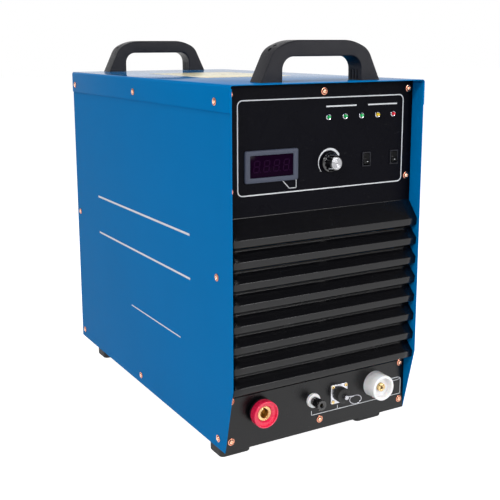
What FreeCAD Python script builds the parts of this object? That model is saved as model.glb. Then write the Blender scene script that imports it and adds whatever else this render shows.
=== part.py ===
import FreeCAD, Part
import math
import os

# An inverter plasma cutter unit: a blue sheet steel case with a black louvred front, two carrying handles,
# four rubber feet, front sockets and controls, rear fans, breaker and inlets, and its power electronics.
# Case frame: X to the right seen from the front, Y to the back from the front edge of the side panels,
# Z up from their bottom edge, in millimetres. save() moves it to the part's origin, which is the middle
# of the footprint on the floor.

V = FreeCAD.Vector

# Case and sheet thicknesses
CASE_W = 320.0
CASE_D = 607.0
CASE_H = 509.0
SHEET = 1.2
PLATE = 1.5
TRAY = 2.0
SEAT = 0.1
PANEL_GAP = 0.3
OVERLAP = 1.0
ROUND_SIDES = 16
PLAIN_SIDES = 12
SMALL_SIDES = 8
SKIRT = 36.0
COVER_BEND = 4.0
FRONT_RECESS = 23.0
REAR_RECESS = 2.0
CHIN_Z = 99.8
CHIN_Y = 24.0
TRAY_FLANGE_RISE = 10.0

# Corner posts and top rails
POST_X = 24.0
POST_Y = 27.0
RAIL_H = 15.0
RAIL_Y = 32.0

# Front face heights
CREASE_Z = CASE_H - 177.0
HOOD_Z = CREASE_Z - 10.0
CONNECTOR_TOP = 78.5
LIP_COUNT = 8
LIP_TOP = CREASE_Z - 26.5
LIP_LAST = CONNECTOR_TOP + 20.5
LIP_PITCH = (LIP_TOP - LIP_LAST) / (LIP_COUNT - 1)
LIP_DROP = 9.6
LIP_LEAN = 1.2
LIP_Y = 3.4
NOTCH_Y = 16.5
NOTCH_DROP = 7.4
FOLD_R = 1.6
FOLD_STEPS = 1
SLOT_COUNT = 2
SLOT_LEN = 135.0
SLOT_PITCH = 147.0
SLOT_FRONT = 3.6
SLOT_DEPTH = 5.6
LOUVRE_FLANGE_GAP = 2.0

# Screws: a washered pan head on a short shank
SCREW_HEAD_R = 5.2
SCREW_HEAD_H = 2.6
SCREW_R = 2.0
SCREW_LEN = 9.0
SCREW_FIT = 0.25
SCREW_X = CASE_W / 2 - 11.0
SCREW_TOP = CASE_H - 13.0
SCREW_MID = CREASE_Z + 36.0
SCREW_LOW = 75.0
SCREW_FOOT = 15.5
SIDE_ROW_TOP = CASE_H - 23.0
SIDE_ROW_MID = 249.0
SIDE_ROW_LOW = 15.0
SIDE_INSET_F = 42.5
SIDE_MIDDLE = 317.0
SIDE_INSET_R = 15.0

# Handles
HANDLE_HALF = 98.5
HANDLE_H = 56.0
HANDLE_TOP_HALF = 80.5
HANDLE_ROUND = 35.0
HANDLE_GAP_HALF = 65.0
HANDLE_GAP_H = 34.0
HANDLE_GAP_ROUND = 14.0
HANDLE_D = 32.0
HANDLE_EDGE = 4.2
HANDLE_STEPS = 3
HANDLE_LIP = 2.2
HANDLE_FRONT_Y = 42.0
HANDLE_REAR_INSET = 17.0
HANDLE_GROOVE_COUNT = 3
HANDLE_GROOVE = 3.0
HANDLE_GROOVE_DEEP = 1.0
HANDLE_GROOVE_PITCH = 7.0
HANDLE_BOLT_X = 82.0
BOLT_R = 3.0
BOLT_AF = 10.0
BOLT_HEAD_H = 4.0
BOLT_DEEP = 22.0
BOLT_END_GAP = 1.0

# Feet
FOOT_H = 27.0
FOOT_W = 50.0
FOOT_D = 37.0
FOOT_X = 120.5
FOOT_FRONT_Y = 78.5
FOOT_REAR_INSET = 62.5
FOOT_ROUND = 5.0
FOOT_EDGE = 3.0
FOOT_WELL_R = 8.0
FOOT_WELL_DEEP = 16.0

# Meter
METER_X = 75.0 - CASE_W / 2
METER_Z = CREASE_Z + 66.8
METER_W = 84.0
METER_H = 43.6
METER_ROUND = 3.0
METER_PROUD = 3.2
WINDOW_W = 68.0
WINDOW_H = 30.0
WINDOW_SET = 1.4
WINDOW_T = 2.0
METER_BODY_W = 76.0
METER_BODY_H = 38.0
METER_BODY_D = 40.0
METER_WALL = 1.6
METER_EDGE = 1.0
DIGIT_COUNT = 4
DIGIT_W = 14.0
DIGIT_H = 20.0
DIGIT_PITCH = 15.5
DIGIT_DEEP = 6.0

# Current knob and its potentiometer
KNOB_X = 10.5
KNOB_Z = CREASE_Z + 65.0
KNOB_TIP = 18.6
KNOB_LIFT = 1.6
KNOB_SKIRT_R = 14.0
KNOB_SKIRT_H = 3.4
KNOB_SKIRT_EDGE = 1.4
KNOB_BODY_R = 11.6
KNOB_LEDGE = 0.5
KNOB_NOSE_R = 9.9
KNOB_FLUTE_COUNT = 12
KNOB_FLUTE_SHARE = 0.12
FLUTE_SHARE = 0.24
KNOB_CAP_R = 8.7
KNOB_CAP_T = 1.2
SHAFT_R = 3.0
RUN_FIT = 0.05
BUSH_R = 4.5
BUSH_OUT = 1.2
POT_R = 12.0
POT_D = 14.0
POT_PIN_COUNT = 3
POT_PIN_W = 2.0
POT_PIN_T = 1.0
POT_PIN_L = 8.0
POT_PIN_Y = 5.0
POT_PIN_PITCH = 5.0

# Rocker switches
SWITCH_X = (CASE_W / 2 - 85.5, CASE_W / 2 - 35.3)
SWITCH_Z = KNOB_Z
BEZEL_W = 15.0
BEZEL_H = 21.0
BEZEL_T = 2.0
SWITCH_BODY_W = 13.0
SWITCH_BODY_H = 18.8
SWITCH_BODY_D = 20.0
SWITCH_WELL_H = 17.0
SWITCH_WELL_W = 11.0
SWITCH_WELL_D = 12.0
SWITCH_TAB_W = 4.8
SWITCH_TAB_T = 0.8
SWITCH_TAB_L = 8.0
SWITCH_TAB_PITCH = 9.0
ROCKER_HALF_H = 7.4
ROCKER_HALF_W = 5.2
ROCKER_FACE = 3.2
ROCKER_TILT = 12.0
ROCKER_BACK = 2.0
ROCKER_SET = 0.4
ROCKER_HUB_R = 3.0
ROCKER_HUB_HALF = 1.8
ROCKER_PIN_R = 1.2
ROCKER_PIN = 0.8

# Indicator lamps
LED_COLOUR = ("green", "green", "green", "yellow", "red")
LED_PITCH = 28.4
LED_LAST_X = CASE_W / 2 - 38.6
LED_Z = CREASE_Z + 128.0
LED_R = 2.5
LED_RIM_R = 4.1
LED_RIM_T = 1.6
LED_LONG = 9.0
LED_TIP = 2.2

# Work clamp socket
WORK_X = 57.5 - CASE_W / 2
WORK_Z = 52.0
WORK_TIP = 19.0
WORK_R = 19.5
WORK_RIM = 2.2
WORK_STEP_R = 13.0
WORK_STEP = 3.4
WORK_CONE_END = 1.0
WORK_BASE_R = 17.0
WORK_BASE_T = 7.5
WORK_EDGE = 0.8
WORK_BRASS_R = 10.6
WORK_BRASS_FIT = WORK_BRASS_R + 0.2
WORK_TAIL = 28.0
WORK_BRASS_SET = 6.0
WORK_BORE_R = 6.5
WORK_BORE_DEEP = 26.0
WORK_KEY_W = 4.0
WORK_KEY_H = 2.0
WORK_THREAD_R = 8.5
WORK_NUT_AF = 27.0

# Torch socket
TORCH_X = CASE_W / 2 - 60.0
TORCH_Z = 50.7
TORCH_TIP = 24.0
TORCH_R = 19.3
TORCH_FLANGE_R = 20.0
TORCH_FLANGE_T = 6.0
TORCH_WAIST_R = 17.2
TORCH_RIM_L = 12.5
TORCH_BORE_R = 15.0
TORCH_BORE_DEEP = 9.0
TORCH_SPIGOT_R = 13.0
TORCH_SPIGOT_L = 20.0
TORCH_EDGE = 1.0
TORCH_NUT_AF = 34.0
CONTACT_R = 8.4
CONTACT_BORE_R = 2.3
CONTACT_BORE_DEEP = 18.0
CONTACT_SET = 0.4
CONTACT_TAIL = 12.0
CONTACT_SLOT = 1.3
CONTACT_SLOT_DEEP = 7.0

# Pilot arc binding post
POST_PIN_X = -12.5
POST_PIN_Z = 48.0
COLLAR_R = 10.8
COLLAR_T = 4.5
COLLAR_EDGE = 1.0
THUMB_R = 7.0
THUMB_RIM_R = 8.0
THUMB_RIM_T = 3.2
THUMB_FLUTE_COUNT = 10
THUMB_TIP = 24.0
STUD_R = 2.5
STUD_SET = 8.0
STUD_TAIL = 22.0
THUMB_FLUTE_SHARE = 0.12

# Control connector and its dust cap
PLUG_X = 34.0
PLUG_Z = 49.0
PLUG_FLANGE = 30.0
PLUG_FLANGE_T = 2.0
PLUG_ROUND = 3.0
PLUG_BARREL_R = 9.0
PLUG_BARREL_L = 6.5
PLUG_ROOM_R = 7.6
PLUG_INSERT_T = 3.0
PLUG_PIN_COUNT = 4
PLUG_PIN_R = 0.9
PLUG_PIN_CIRCLE_R = 4.2
PLUG_TAIL = 14.0
PLUG_SCREW_PITCH = 23.0
PLUG_SCREW_R = 2.6
PLUG_SCREW_T = 1.4
CAP_R = 11.5
CAP_WALL = 2.2
CAP_EDGE = 1.0
CAP_TIP = 11.0
CRIMP_R = 3.2
CRIMP_L = 8.0
RING_R = 0.8
RING_BEND = 3.0
RING_ROUTE = ((0, 0.8), (11, 2.6), (18, -3), (12, -7.5), (1.5, -1.6))

# Wires and hoses
BEND_STEPS = 2

# Fans and guards
FAN_SIZE = CASE_W / 2 - 41.0
FAN_D = 38.0
FAN_BORE_R = FAN_SIZE / 2 - 2.5
FAN_ROUND = 6.0
FAN_SIDES = 16
FAN_PIN_SET = 6.0
FAN_ROTOR_SET = 3.0
FAN_X = FAN_SIZE / 2 + 6.5
FAN_Z = 168.0
FAN_HUB_R = 30.0
FAN_CUP_D = 12.0
FAN_RUN_GAP = 1.0
FAN_ARM_COUNT = 4
FAN_ARM_W = 7.0
FAN_ARM_T = 4.0
FAN_PIN_R = 3.0
BLADE_COUNT = 6
BLADE_TIP_R = FAN_BORE_R - 1.7
BLADE_CHORD = 27.0
BLADE_T = 2.0
BLADE_PITCH = 38.0
FAN_SCREW_PITCH = FAN_SIZE - 14.2
GUARD_RING_COUNT = 3
GUARD_WIRE = 2.2
GUARD_SIDES = 12
GUARD_STANDOFF = 6.0

# Breaker
REAR_ROW_Z = CASE_H - 89.0
BREAKER_X = -82.0
BREAKER_Z = REAR_ROW_Z
BREAKER_W = 54.0
BREAKER_NOSE_H = 45.0
BREAKER_H = 82.0
BREAKER_NOSE_D = 9.0
BREAKER_BODY_D = 60.0
BREAKER_SET = 1.0
LEVER_W = 40.0
LEVER_R = 8.5
LEVER_LONG = 20.0
LEVER_T = 5.0
LEVER_ROOT_T = 7.0
LEVER_TILT = 40.0
LEVER_PIN_R = 1.5
LEVER_SET = 3.0
LEVER_PIN = 3.0

# Mains gland, air inlet and earth stud
GLAND_X = 0.0
GLAND_Z = REAR_ROW_Z
GLAND_R = 12.0
GLAND_AF = 30.0
GLAND_BORE_R = 7.5
GLAND_OUT = 24.0
GLAND_DOME = 7.0
GLAND_DOME_INSET = 1.0
GLAND_LIP = 2.0
GLAND_TAIL = 12.0
INLET_X = 84.0
INLET_Z = REAR_ROW_Z
INLET_AF = 22.0
INLET_R = 6.5
INLET_BORE_R = 3.0
INLET_OUT = 30.0
INLET_HEX = 9.0
INLET_TAIL = 22.0
EARTH_X = CASE_W / 2 - 42.0
EARTH_Z = 40.0
EARTH_R = 4.0
EARTH_OUT = 22.0
EARTH_NUT_AF = 13.0
EARTH_TAIL = 10.0
NUT_T = 6.0

# Inside pieces
SHELF_Z = CREASE_Z - 6.0
SHELF_LIP = 15.0
SINK_W = 170.0
SINK_L = 230.0
SINK_FIN_H = 62.0
SINK_FIN_T = 2.0
SINK_FIN_COUNT = 14
SINK_BASE_T = 9.0
SINK_X = 105.0 - CASE_W / 2
SINK_Y = CASE_D - 317.0
BAR_H = 20.0
BAR_W = 18.0
BAR_INSET = 30.0
MODULE_W = 62.0
MODULE_L = 94.0
MODULE_H = 30.0
MODULE_COUNT = 2
MODULE_GAP = 14.0
MODULE_INSET = 12.0
TERMINAL_W = 16.0
TERMINAL_D = 14.0
TERMINAL_H = 4.0
TERMINAL_COUNT = 3
TERMINAL_PITCH = 28.0
BRIDGE_D = 54.0
BRIDGE_H = 26.0
BRIDGE_GAP = 18.0
BRIDGE_STUD_R = 4.0
BRIDGE_STUD_H = 5.0
BRIDGE_STUD_COUNT = 5
BRIDGE_STUD_PITCH = 18.0
CORE_W = 120.0
CORE_D = 60.0
CORE_H = 110.0
CORE_LEG = 26.0
CORE_YOKE = 18.2
COIL_T = 15.0
COIL_GAP = 1.0
CORE_X = 82.0 - CASE_W / 2
CORE_Y = 150.0
CHOKE_R = 55.0
CHOKE_HOLE_R = 24.0
CHOKE_D = 46.0
CHOKE_X = 62.0
CHOKE_Y = 160.0
CHOKE_EDGE = 6.0
CHOKE_SIDES = 12
CHOKE_LIFT = 4.0
SADDLE_W = 80.0
SADDLE_INSET = 8.0
SADDLE_H = 24.0
CAP_CAN_R = 17.5
CAP_CAN_H = 60.0
CAP_CAN_PITCH = 42.0
CAP_CAN_COUNT = 4
CAP_CAN_X = 97.0 - CASE_W / 2
CAP_CAN_Y = 455.0
BOARD_T = 1.6
BOARD_LIFT = 10.0
STANDOFF_R = 3.0
STANDOFF_INSET = 7.0
BOARD_W = 210.0
BOARD_L = 150.0
BOARD_Y = 120.0
BOARD_X = -30.0
ARC_BOARD_W = 110.0
ARC_BOARD_L = 120.0
ARC_BOARD_X = CASE_W / 2 - 80.0
ARC_BOARD_Y = 310.0
VALVE_W = 24.0
VALVE_D = 40.0
VALVE_COIL = 34.0
VALVE_COIL_H = 40.0
VALVE_COIL_ROUND = 5.0
HOSE_R = 4.0
HOSE_SIDES = 6
HOSE_BEND = 20.0
HOSE_X = CASE_W / 2 - 22.0
HOSE_Y = CASE_D - 137.0
HOSE_HOLE_FIT = 2.0
HOSE_RUN = 40.0
HOSE_DROP = 45.0
HOSE_BELOW_SHELF = 80.0
HOSE_TURN_Y = 160.0
HOSE_TURN_Z = 110.0
HOSE_LEAD_Y = 100.0

# Blocks on the two circuit boards: place across and along the board, width, length and height
CONTROL_BLOCKS = ((-60.0, 40.0, 34.0, 30.0, 26.0), (10.0, 50.0, 24.0, 24.0, 6.0),
                  (60.0, 100.0, 60.0, 16.0, 12.0), (-50.0, 110.0, 50.0, 16.0, 10.0),
                  (70.0, 40.0, 30.0, 30.0, 20.0))
ARC_BLOCKS = ((-20.0, 40.0, 44.0, 44.0, 36.0), (30.0, 90.0, 26.0, 26.0, 24.0))

# Overall reach in front of and behind the case, which sets the origin
FRONT_REACH = max(TORCH_TIP, THUMB_TIP) - FRONT_RECESS
REAR_REACH = INLET_OUT - REAR_RECESS
ORIGIN_SHIFT = V(0, -(CASE_D + REAR_REACH - FRONT_REACH) / 2, FOOT_H)

# Faces that other pieces are set against
WALL_OUT = CASE_W / 2 - SHEET - SEAT
WALL_IN = WALL_OUT - SHEET
PANEL_HALF = WALL_IN - PANEL_GAP
POST_OUT = WALL_IN - SEAT
POST_IN = POST_OUT - PLATE
COVER_IN = CASE_H - SHEET
FRAME_TOP = COVER_IN - SEAT
PANEL_TOP = FRAME_TOP - PANEL_GAP
SIDE_TOP = COVER_IN - COVER_BEND
PANEL_Y = FRONT_RECESS
PANEL_BACK = PANEL_Y + PLATE
REAR_Y = CASE_D - REAR_RECESS
REAR_FRONT = REAR_Y - PLATE
FRAME_FRONT = PANEL_BACK + SEAT
FRAME_BACK = REAR_FRONT - SEAT
TRAY_TOP = TRAY + SEAT
HANDLE_REAR_Y = CASE_D - HANDLE_REAR_INSET
CHOKE_Z = TRAY_TOP + CHOKE_R + CHOKE_LIFT


# Basic solids

def closed(points):
    return points + points[:1]


def box(x0, x1, y0, y1, z0, z1):
    return Part.makeBox(x1 - x0, y1 - y0, z1 - z0, V(x0, y0, z0))


def rod(x, y, z, radius, length, axis=V(0, 1, 0)):
    """A true cylinder, for the bores and pins that other parts fit and that joints turn on."""
    return Part.makeCylinder(radius, length, V(x, y, z), axis)


def bar(x, y0, y1, z, radius, sides=ROUND_SIDES):
    """A round bar along Y whose corners lie on the radius."""
    return along(regular(x, z, radius, sides), y0, y1)


def spaced(count, pitch):
    """Places of evenly pitched copies about zero."""
    return [(i - (count - 1) / 2) * pitch for i in range(count)]


def corner_arc(before, corner, after, radius):
    """The two tangent points and the middle point of an arc that rounds a corner of an outline."""
    u = (before - corner).normalize()
    w = (after - corner).normalize()
    half = u.getAngle(w) / 2
    run = radius / math.tan(half)
    middle = (u + w).normalize() * (radius / math.sin(half) - radius)
    return corner + u * run, corner + middle, corner + w * run


def outline(points, closed_loop=True):
    """A wire through points (point, radius), with each corner of a radius above zero rounded by an arc."""
    count = len(points)
    edges = []
    ends = []
    for i, (corner, radius) in enumerate(points):
        inner = closed_loop or 0 < i < count - 1
        if radius and inner:
            start, mid, end = corner_arc(points[i - 1][0], corner, points[(i + 1) % count][0], radius)
            ends.append((start, end, Part.Arc(start, mid, end).toShape()))
        else:
            ends.append((corner, corner, None))
    for i in range(count if closed_loop else count - 1):
        if ends[i][2] and (closed_loop or i > 0):
            edges.append(ends[i][2])
        begin, finish = ends[i][1], ends[(i + 1) % count][0]
        if begin.distanceToPoint(finish) > 1e-6:
            edges.append(Part.makeLine(begin, finish))
    return Part.Wire(edges)


def chorded(points, steps):
    """Outline points (a, b, radius) with each rounded corner turned into a few chords of its arc."""
    result = []
    for i, point in enumerate(points):
        if len(point) < 3 or not point[2]:
            result.append((point[0], point[1]))
            continue
        before, after = points[i - 1], points[(i + 1) % len(points)]
        trio = corner_arc(*[V(q[0], q[1], 0) for q in (before, point, after)], point[2])
        arc = Part.Arc(*trio).toShape()
        result += [(q.x, q.y) for q in arc.discretize(steps + 1)]
    return result


def across(points, x0, x1):
    """A prism along X from an outline of (y, z) or (y, z, radius) points."""
    wire = outline([(V(x0, p[0], p[1]), p[2] if len(p) > 2 else 0) for p in points])
    return Part.Face(wire).extrude(V(x1 - x0, 0, 0))


def backed(points, through, x0, x1):
    """A prism along X from an open outline of (y, z) points that an arc through one more point closes."""
    corners = [V(x0, y, z) for y, z in points]
    arc = Part.Arc(corners[-1], V(x0, *through), corners[0]).toShape()
    wire = Part.Wire(Part.makePolygon(corners).Edges + [arc])
    return Part.Face(wire).extrude(V(x1 - x0, 0, 0))


def along(points, y0, y1):
    """A prism along Y from an outline of (x, z) or (x, z, radius) points."""
    wire = outline([(V(p[0], y0, p[1]), p[2] if len(p) > 2 else 0) for p in points])
    return Part.Face(wire).extrude(V(0, y1 - y0, 0))


def upward(points, z0, z1):
    """A prism along Z from an outline of (x, y) or (x, y, radius) points."""
    wire = outline([(V(p[0], p[1], z0), p[2] if len(p) > 2 else 0) for p in points])
    return Part.Face(wire).extrude(V(0, 0, z1 - z0))


def rectangle(a, b, width, height, radius=0):
    """Corner points of a rounded rectangle about (a, b)."""
    w, h = width / 2, height / 2
    return [(a - w, b - h, radius), (a + w, b - h, radius), (a + w, b + h, radius), (a - w, b + h, radius)]


def regular(a, b, radius, sides, turn=0.0):
    """Corner points of a regular polygon about (a, b), whose corners lie on the radius."""
    steps = [math.radians(turn) + 2 * math.pi * i / sides for i in range(sides)]
    return [(a + radius * math.cos(t), b + radius * math.sin(t)) for t in steps]


def hexagon(a, b, across_flats):
    return regular(a, b, across_flats / math.sqrt(3), 6)


def turned(x, z, profile, sides=ROUND_SIDES):
    """A faceted solid of revolution about a Y axis through (x, z), from a loop of (radius, y) points."""
    faces = []
    for (r0, y0), (r1, y1) in zip(profile, closed(profile)[1:]):
        rings = [[V(a, y, b) for a, b in regular(x, z, r, sides)] for r, y in ((r0, y0), (r1, y1))]
        if y0 == y1:
            loops = [Part.makePolygon(closed(ring)) for r, ring in zip((r0, r1), rings) if r > 0]
            faces.append(Part.makeFace(loops, "Part::FaceMakerBullseye"))
        elif r0 or r1:
            faces += bands(*rings)
    return filled(faces)


def bands(ring0, ring1):
    """The flat facets between two rings of corners, with triangles where a ring shrinks to a point."""
    facets = []
    for i in range(len(ring0)):
        j = (i + 1) % len(ring0)
        corners = [ring0[i], ring0[j], ring1[j], ring1[i]]
        corners = [c for k, c in enumerate(corners) if c.distanceToPoint(corners[k - 1]) > 1e-6]
        facets.append(Part.Face(Part.makePolygon(closed(corners))))
    return facets


def filled(faces):
    """The solid inside a closed set of faces."""
    shell = Part.Shell(faces)
    shell.sewShape()
    solid = Part.Solid(shell)
    if solid.Volume < 0:
        solid.reverse()
    return solid


def skinned(rings):
    """The solid through a row of rings with as many corners each, closed by the first and last."""
    faces = [Part.Face(Part.makePolygon(closed(ring))) for ring in (rings[0], rings[-1])]
    for ring0, ring1 in zip(rings, rings[1:]):
        faces += bands(ring0, ring1)
    return filled(faces)


def drill(x, y0, y1, z, radius, sides=4):
    """A hole along Y whose flats touch the radius, cut square where a screw head hides it."""
    return along(regular(x, z, radius / math.cos(math.pi / sides), sides), y0, y1)


def side_drill(x0, x1, y, z, radius, sides=4):
    return across(regular(y, z, radius / math.cos(math.pi / sides), sides), x0, x1)


def down_drill(x, y, z0, z1, radius, sides=4):
    return upward(regular(x, y, radius / math.cos(math.pi / sides), sides), z0, z1)


def joined(shapes):
    whole = shapes[0].fuse(shapes[1:]) if len(shapes) > 1 else shapes[0]
    return whole.removeSplitter()


def less(shape, tools):
    return shape.cut(tools) if tools else shape


def mirrored(shape):
    return shape.mirror(V(0, 0, 0), V(1, 0, 0))


def turned_back(shape):
    """The same piece turned half round the vertical axis, for the rear of the case."""
    return shape.rotated(V(0, CASE_D / 2, 0), V(0, 0, 1), 180)


def save(name, *shapes):
    """Writes one node as solids in the part's own frame."""
    solids = [solid for shape in shapes for solid in shape.Solids]
    whole = solids[0] if len(solids) == 1 else Part.makeCompound(solids)
    whole.translated(ORIGIN_SHIFT).exportStep("parts/" + name + ".step")


# Where the screws are

def front_screw_places():
    sides = [(x, z) for x in (-SCREW_X, SCREW_X) for z in (SCREW_TOP, SCREW_MID, SCREW_LOW, SCREW_FOOT)]
    return sides + [(0, SCREW_TOP), (0, SCREW_FOOT)]


def rear_screw_places():
    sides = [(x, z) for x in (-SCREW_X, SCREW_X) for z in (SCREW_TOP, SIDE_ROW_MID, SCREW_FOOT)]
    return sides + [(0, SCREW_TOP), (0, SCREW_FOOT)]


def side_screw_places():
    ends = (SIDE_INSET_F, CASE_D - SIDE_INSET_R)
    full_rows = [(y, z) for z in (SIDE_ROW_TOP, SIDE_ROW_LOW) for y in ends + (SIDE_MIDDLE,)]
    return full_rows + [(y, SIDE_ROW_MID) for y in ends]


def handle_bolt_places():
    return [(x, y) for x in (-HANDLE_BOLT_X, HANDLE_BOLT_X) for y in (HANDLE_FRONT_Y, HANDLE_REAR_Y)]


def lamp_places():
    first = LED_LAST_X - (len(LED_COLOUR) - 1) * LED_PITCH
    return [first + i * LED_PITCH for i in range(len(LED_COLOUR))]


def foot_places():
    ends = (FOOT_FRONT_Y, CASE_D - FOOT_REAR_INSET)
    return [(x, y) for y in ends for x in (-FOOT_X, FOOT_X)]


# Screws

def screw():
    """A pan head from y = -SCREW_HEAD_H to 0 with its shank behind it."""
    return joined([bar(0, -SCREW_HEAD_H, 0, 0, SCREW_HEAD_R, 6), bar(0, 0, SCREW_LEN, 0, SCREW_R, 4)])


def at_y(edge, y):
    """Whether an edge lies in the plane of this y."""
    return abs(edge.BoundBox.YMin - y) < 1e-4 and abs(edge.BoundBox.YMax - y) < 1e-4


def screws():
    pan = screw()
    front = [pan.translated(V(x, PANEL_Y, z)) for x, z in front_screw_places()]
    back = pan.rotated(V(0, 0, 0), V(0, 0, 1), 180)
    rear = [back.translated(V(x, REAR_Y, z)) for x, z in rear_screw_places()]
    left_pan = pan.rotated(V(0, 0, 0), V(0, 0, 1), -90)
    left = []
    for y, z in side_screw_places():
        face = CASE_W / 2 if z == SIDE_ROW_TOP else WALL_OUT
        left.append(left_pan.translated(V(-face, y, z)))
    save("case_screws", *front, *rear, *left, *[mirrored(s) for s in left])


# Sheet metal case

def base_tray():
    plate = box(-POST_OUT, POST_OUT, FRAME_FRONT, FRAME_BACK, 0, TRAY)
    flange_h = SIDE_ROW_LOW + TRAY_FLANGE_RISE
    run_x = POST_OUT - POST_X - SEAT
    run_y0, run_y1 = FRAME_FRONT + POST_Y + SEAT, FRAME_BACK - POST_Y - SEAT
    left = box(-POST_OUT, -POST_OUT + TRAY, run_y0, run_y1, 0, flange_h)
    front = box(-run_x, run_x, FRAME_FRONT, FRAME_FRONT + TRAY, 0, flange_h)
    rear = box(-run_x, run_x, FRAME_BACK - TRAY, FRAME_BACK, 0, flange_h)
    tray = joined([plate, left, mirrored(left), front, rear])
    holes = [drill(0, FRAME_FRONT, FRAME_FRONT + TRAY, SCREW_FOOT, SCREW_R + SCREW_FIT),
             drill(0, FRAME_BACK - TRAY, FRAME_BACK, SCREW_FOOT, SCREW_R + SCREW_FIT)]
    for y, z in side_screw_places():
        if z == SIDE_ROW_LOW and run_y0 < y < run_y1:
            hole = side_drill(-POST_OUT, -POST_OUT + TRAY, y, z, SCREW_R + SCREW_FIT)
            holes += [hole, mirrored(hole)]
    for x, y in foot_places():
        holes.append(down_drill(x, y, 0, TRAY, BOLT_R + SCREW_FIT))
    save("base_tray", less(tray, holes))


def corner_posts():
    """Four angle posts that stand on the tray inside the corners of the case."""
    profile = [(-POST_OUT, FRAME_FRONT), (-POST_OUT + POST_X, FRAME_FRONT),
               (-POST_OUT + POST_X, FRAME_FRONT + PLATE), (-POST_IN, FRAME_FRONT + PLATE),
               (-POST_IN, FRAME_FRONT + POST_Y), (-POST_OUT, FRAME_FRONT + POST_Y)]
    blank = upward(profile, TRAY_TOP, SIDE_TOP)
    front_holes = [drill(x, FRAME_FRONT, FRAME_FRONT + PLATE, z, SCREW_R)
                   for x, z in front_screw_places() if x < 0]
    side_holes = [side_drill(-POST_OUT, -POST_IN, y, z, SCREW_R)
                  for y, z in side_screw_places() if y < CASE_D / 4]
    front = less(blank, front_holes + side_holes)
    back = turned_back(blank).translated(V(0, FRAME_BACK + FRAME_FRONT - CASE_D, 0))
    back_holes = [drill(x, FRAME_BACK - PLATE, FRAME_BACK, z, SCREW_R)
                  for x, z in rear_screw_places() if x > 0]
    side_back = [side_drill(POST_IN, POST_OUT, y, z, SCREW_R)
                 for y, z in side_screw_places() if y > CASE_D * 3 / 4]
    rear = less(back, back_holes + side_back)
    save("corner_posts", front, mirrored(front), rear, mirrored(rear))


def top_rail(y0, y1, front_side):
    """A channel across the case under the top cover, which takes the handle bolts."""
    low = FRAME_TOP - RAIL_H
    skin = box(-POST_IN + SEAT, POST_IN - SEAT, y0, y1, low, FRAME_TOP)
    hollow = box(-POST_IN, POST_IN, y0 + TRAY, y1 - TRAY, low - OVERLAP, FRAME_TOP - TRAY)
    wall = (y0, y0 + TRAY) if front_side else (y1 - TRAY, y1)
    half = POST_X + SEAT
    notches = [box(s * POST_OUT - half, s * POST_OUT + half, *wall, low - OVERLAP, CASE_H) for s in (-1, 1)]
    holes = [drill(0, *wall, SCREW_TOP, SCREW_R + SCREW_FIT)]
    for x, y in handle_bolt_places():
        if y0 < y < y1:
            holes.append(down_drill(x, y, FRAME_TOP - TRAY, FRAME_TOP, BOLT_R + SCREW_FIT))
    return less(skin, [hollow] + notches + holes)


def top_rails():
    front = top_rail(FRAME_FRONT, FRAME_FRONT + RAIL_Y, True)
    rear = top_rail(FRAME_BACK - RAIL_Y, FRAME_BACK, False)
    save("top_rails", front, rear)


def side_panels():
    """Flat sides whose front edge runs back below the chin."""
    profile = [(0, CHIN_Z), (CHIN_Y, 0), (CASE_D, 0), (CASE_D, SIDE_TOP), (0, SIDE_TOP)]
    sheet = across(profile, -WALL_OUT, -WALL_IN)
    holes = [side_drill(-WALL_OUT, -WALL_IN, y, z, SCREW_R + SCREW_FIT) for y, z in side_screw_places()]
    left = less(sheet, holes)
    save("side_panel_left", left)
    save("side_panel_right", mirrored(left))


def top_cover():
    """The top sheet, bent down into a skirt on each side."""
    half, low = CASE_W / 2, CASE_H - SKIRT
    inner = half - SHEET
    profile = [(-half, low), (-half, CASE_H, COVER_BEND), (half, CASE_H, COVER_BEND), (half, low),
               (inner, low), (inner, COVER_IN, COVER_BEND - SHEET), (-inner, COVER_IN, COVER_BEND - SHEET),
               (-inner, low)]
    sheet = along(chorded(profile, 2), 0, CASE_D)
    holes = []
    for y, z in side_screw_places():
        if z == SIDE_ROW_TOP:
            hole = side_drill(-half, -inner, y, z, SCREW_R + SCREW_FIT)
            holes += [hole, mirrored(hole)]
    for x, y in handle_bolt_places():
        holes.append(down_drill(x, y, COVER_IN, CASE_H, BOLT_R + SCREW_FIT))
    save("top_cover", less(sheet, holes))


def control_panel():
    sheet = along([(-PANEL_HALF, CREASE_Z), (PANEL_HALF, CREASE_Z), (PANEL_HALF, PANEL_TOP),
                   (-PANEL_HALF, PANEL_TOP)], PANEL_Y, PANEL_BACK)
    holes = [drill(x, PANEL_Y, PANEL_BACK, z, SCREW_R + SCREW_FIT)
             for x, z in front_screw_places() if z > CREASE_Z]
    cut = rectangle(METER_X, METER_Z, METER_BODY_W + 2 * PANEL_GAP, METER_BODY_H + 2 * PANEL_GAP)
    holes.append(along(cut, PANEL_Y, PANEL_BACK))
    holes.append(drill(KNOB_X, PANEL_Y, PANEL_BACK, KNOB_Z, BUSH_R + SEAT, 12))
    for x in SWITCH_X:
        cut = rectangle(x, SWITCH_Z, SWITCH_BODY_W + 2 * PANEL_GAP, SWITCH_BODY_H + 2 * PANEL_GAP)
        holes.append(along(cut, PANEL_Y, PANEL_BACK))
    holes += [drill(x, PANEL_Y, PANEL_BACK, LED_Z, LED_R, 8) for x in lamp_places()]
    save("control_panel", less(sheet, holes))


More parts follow.
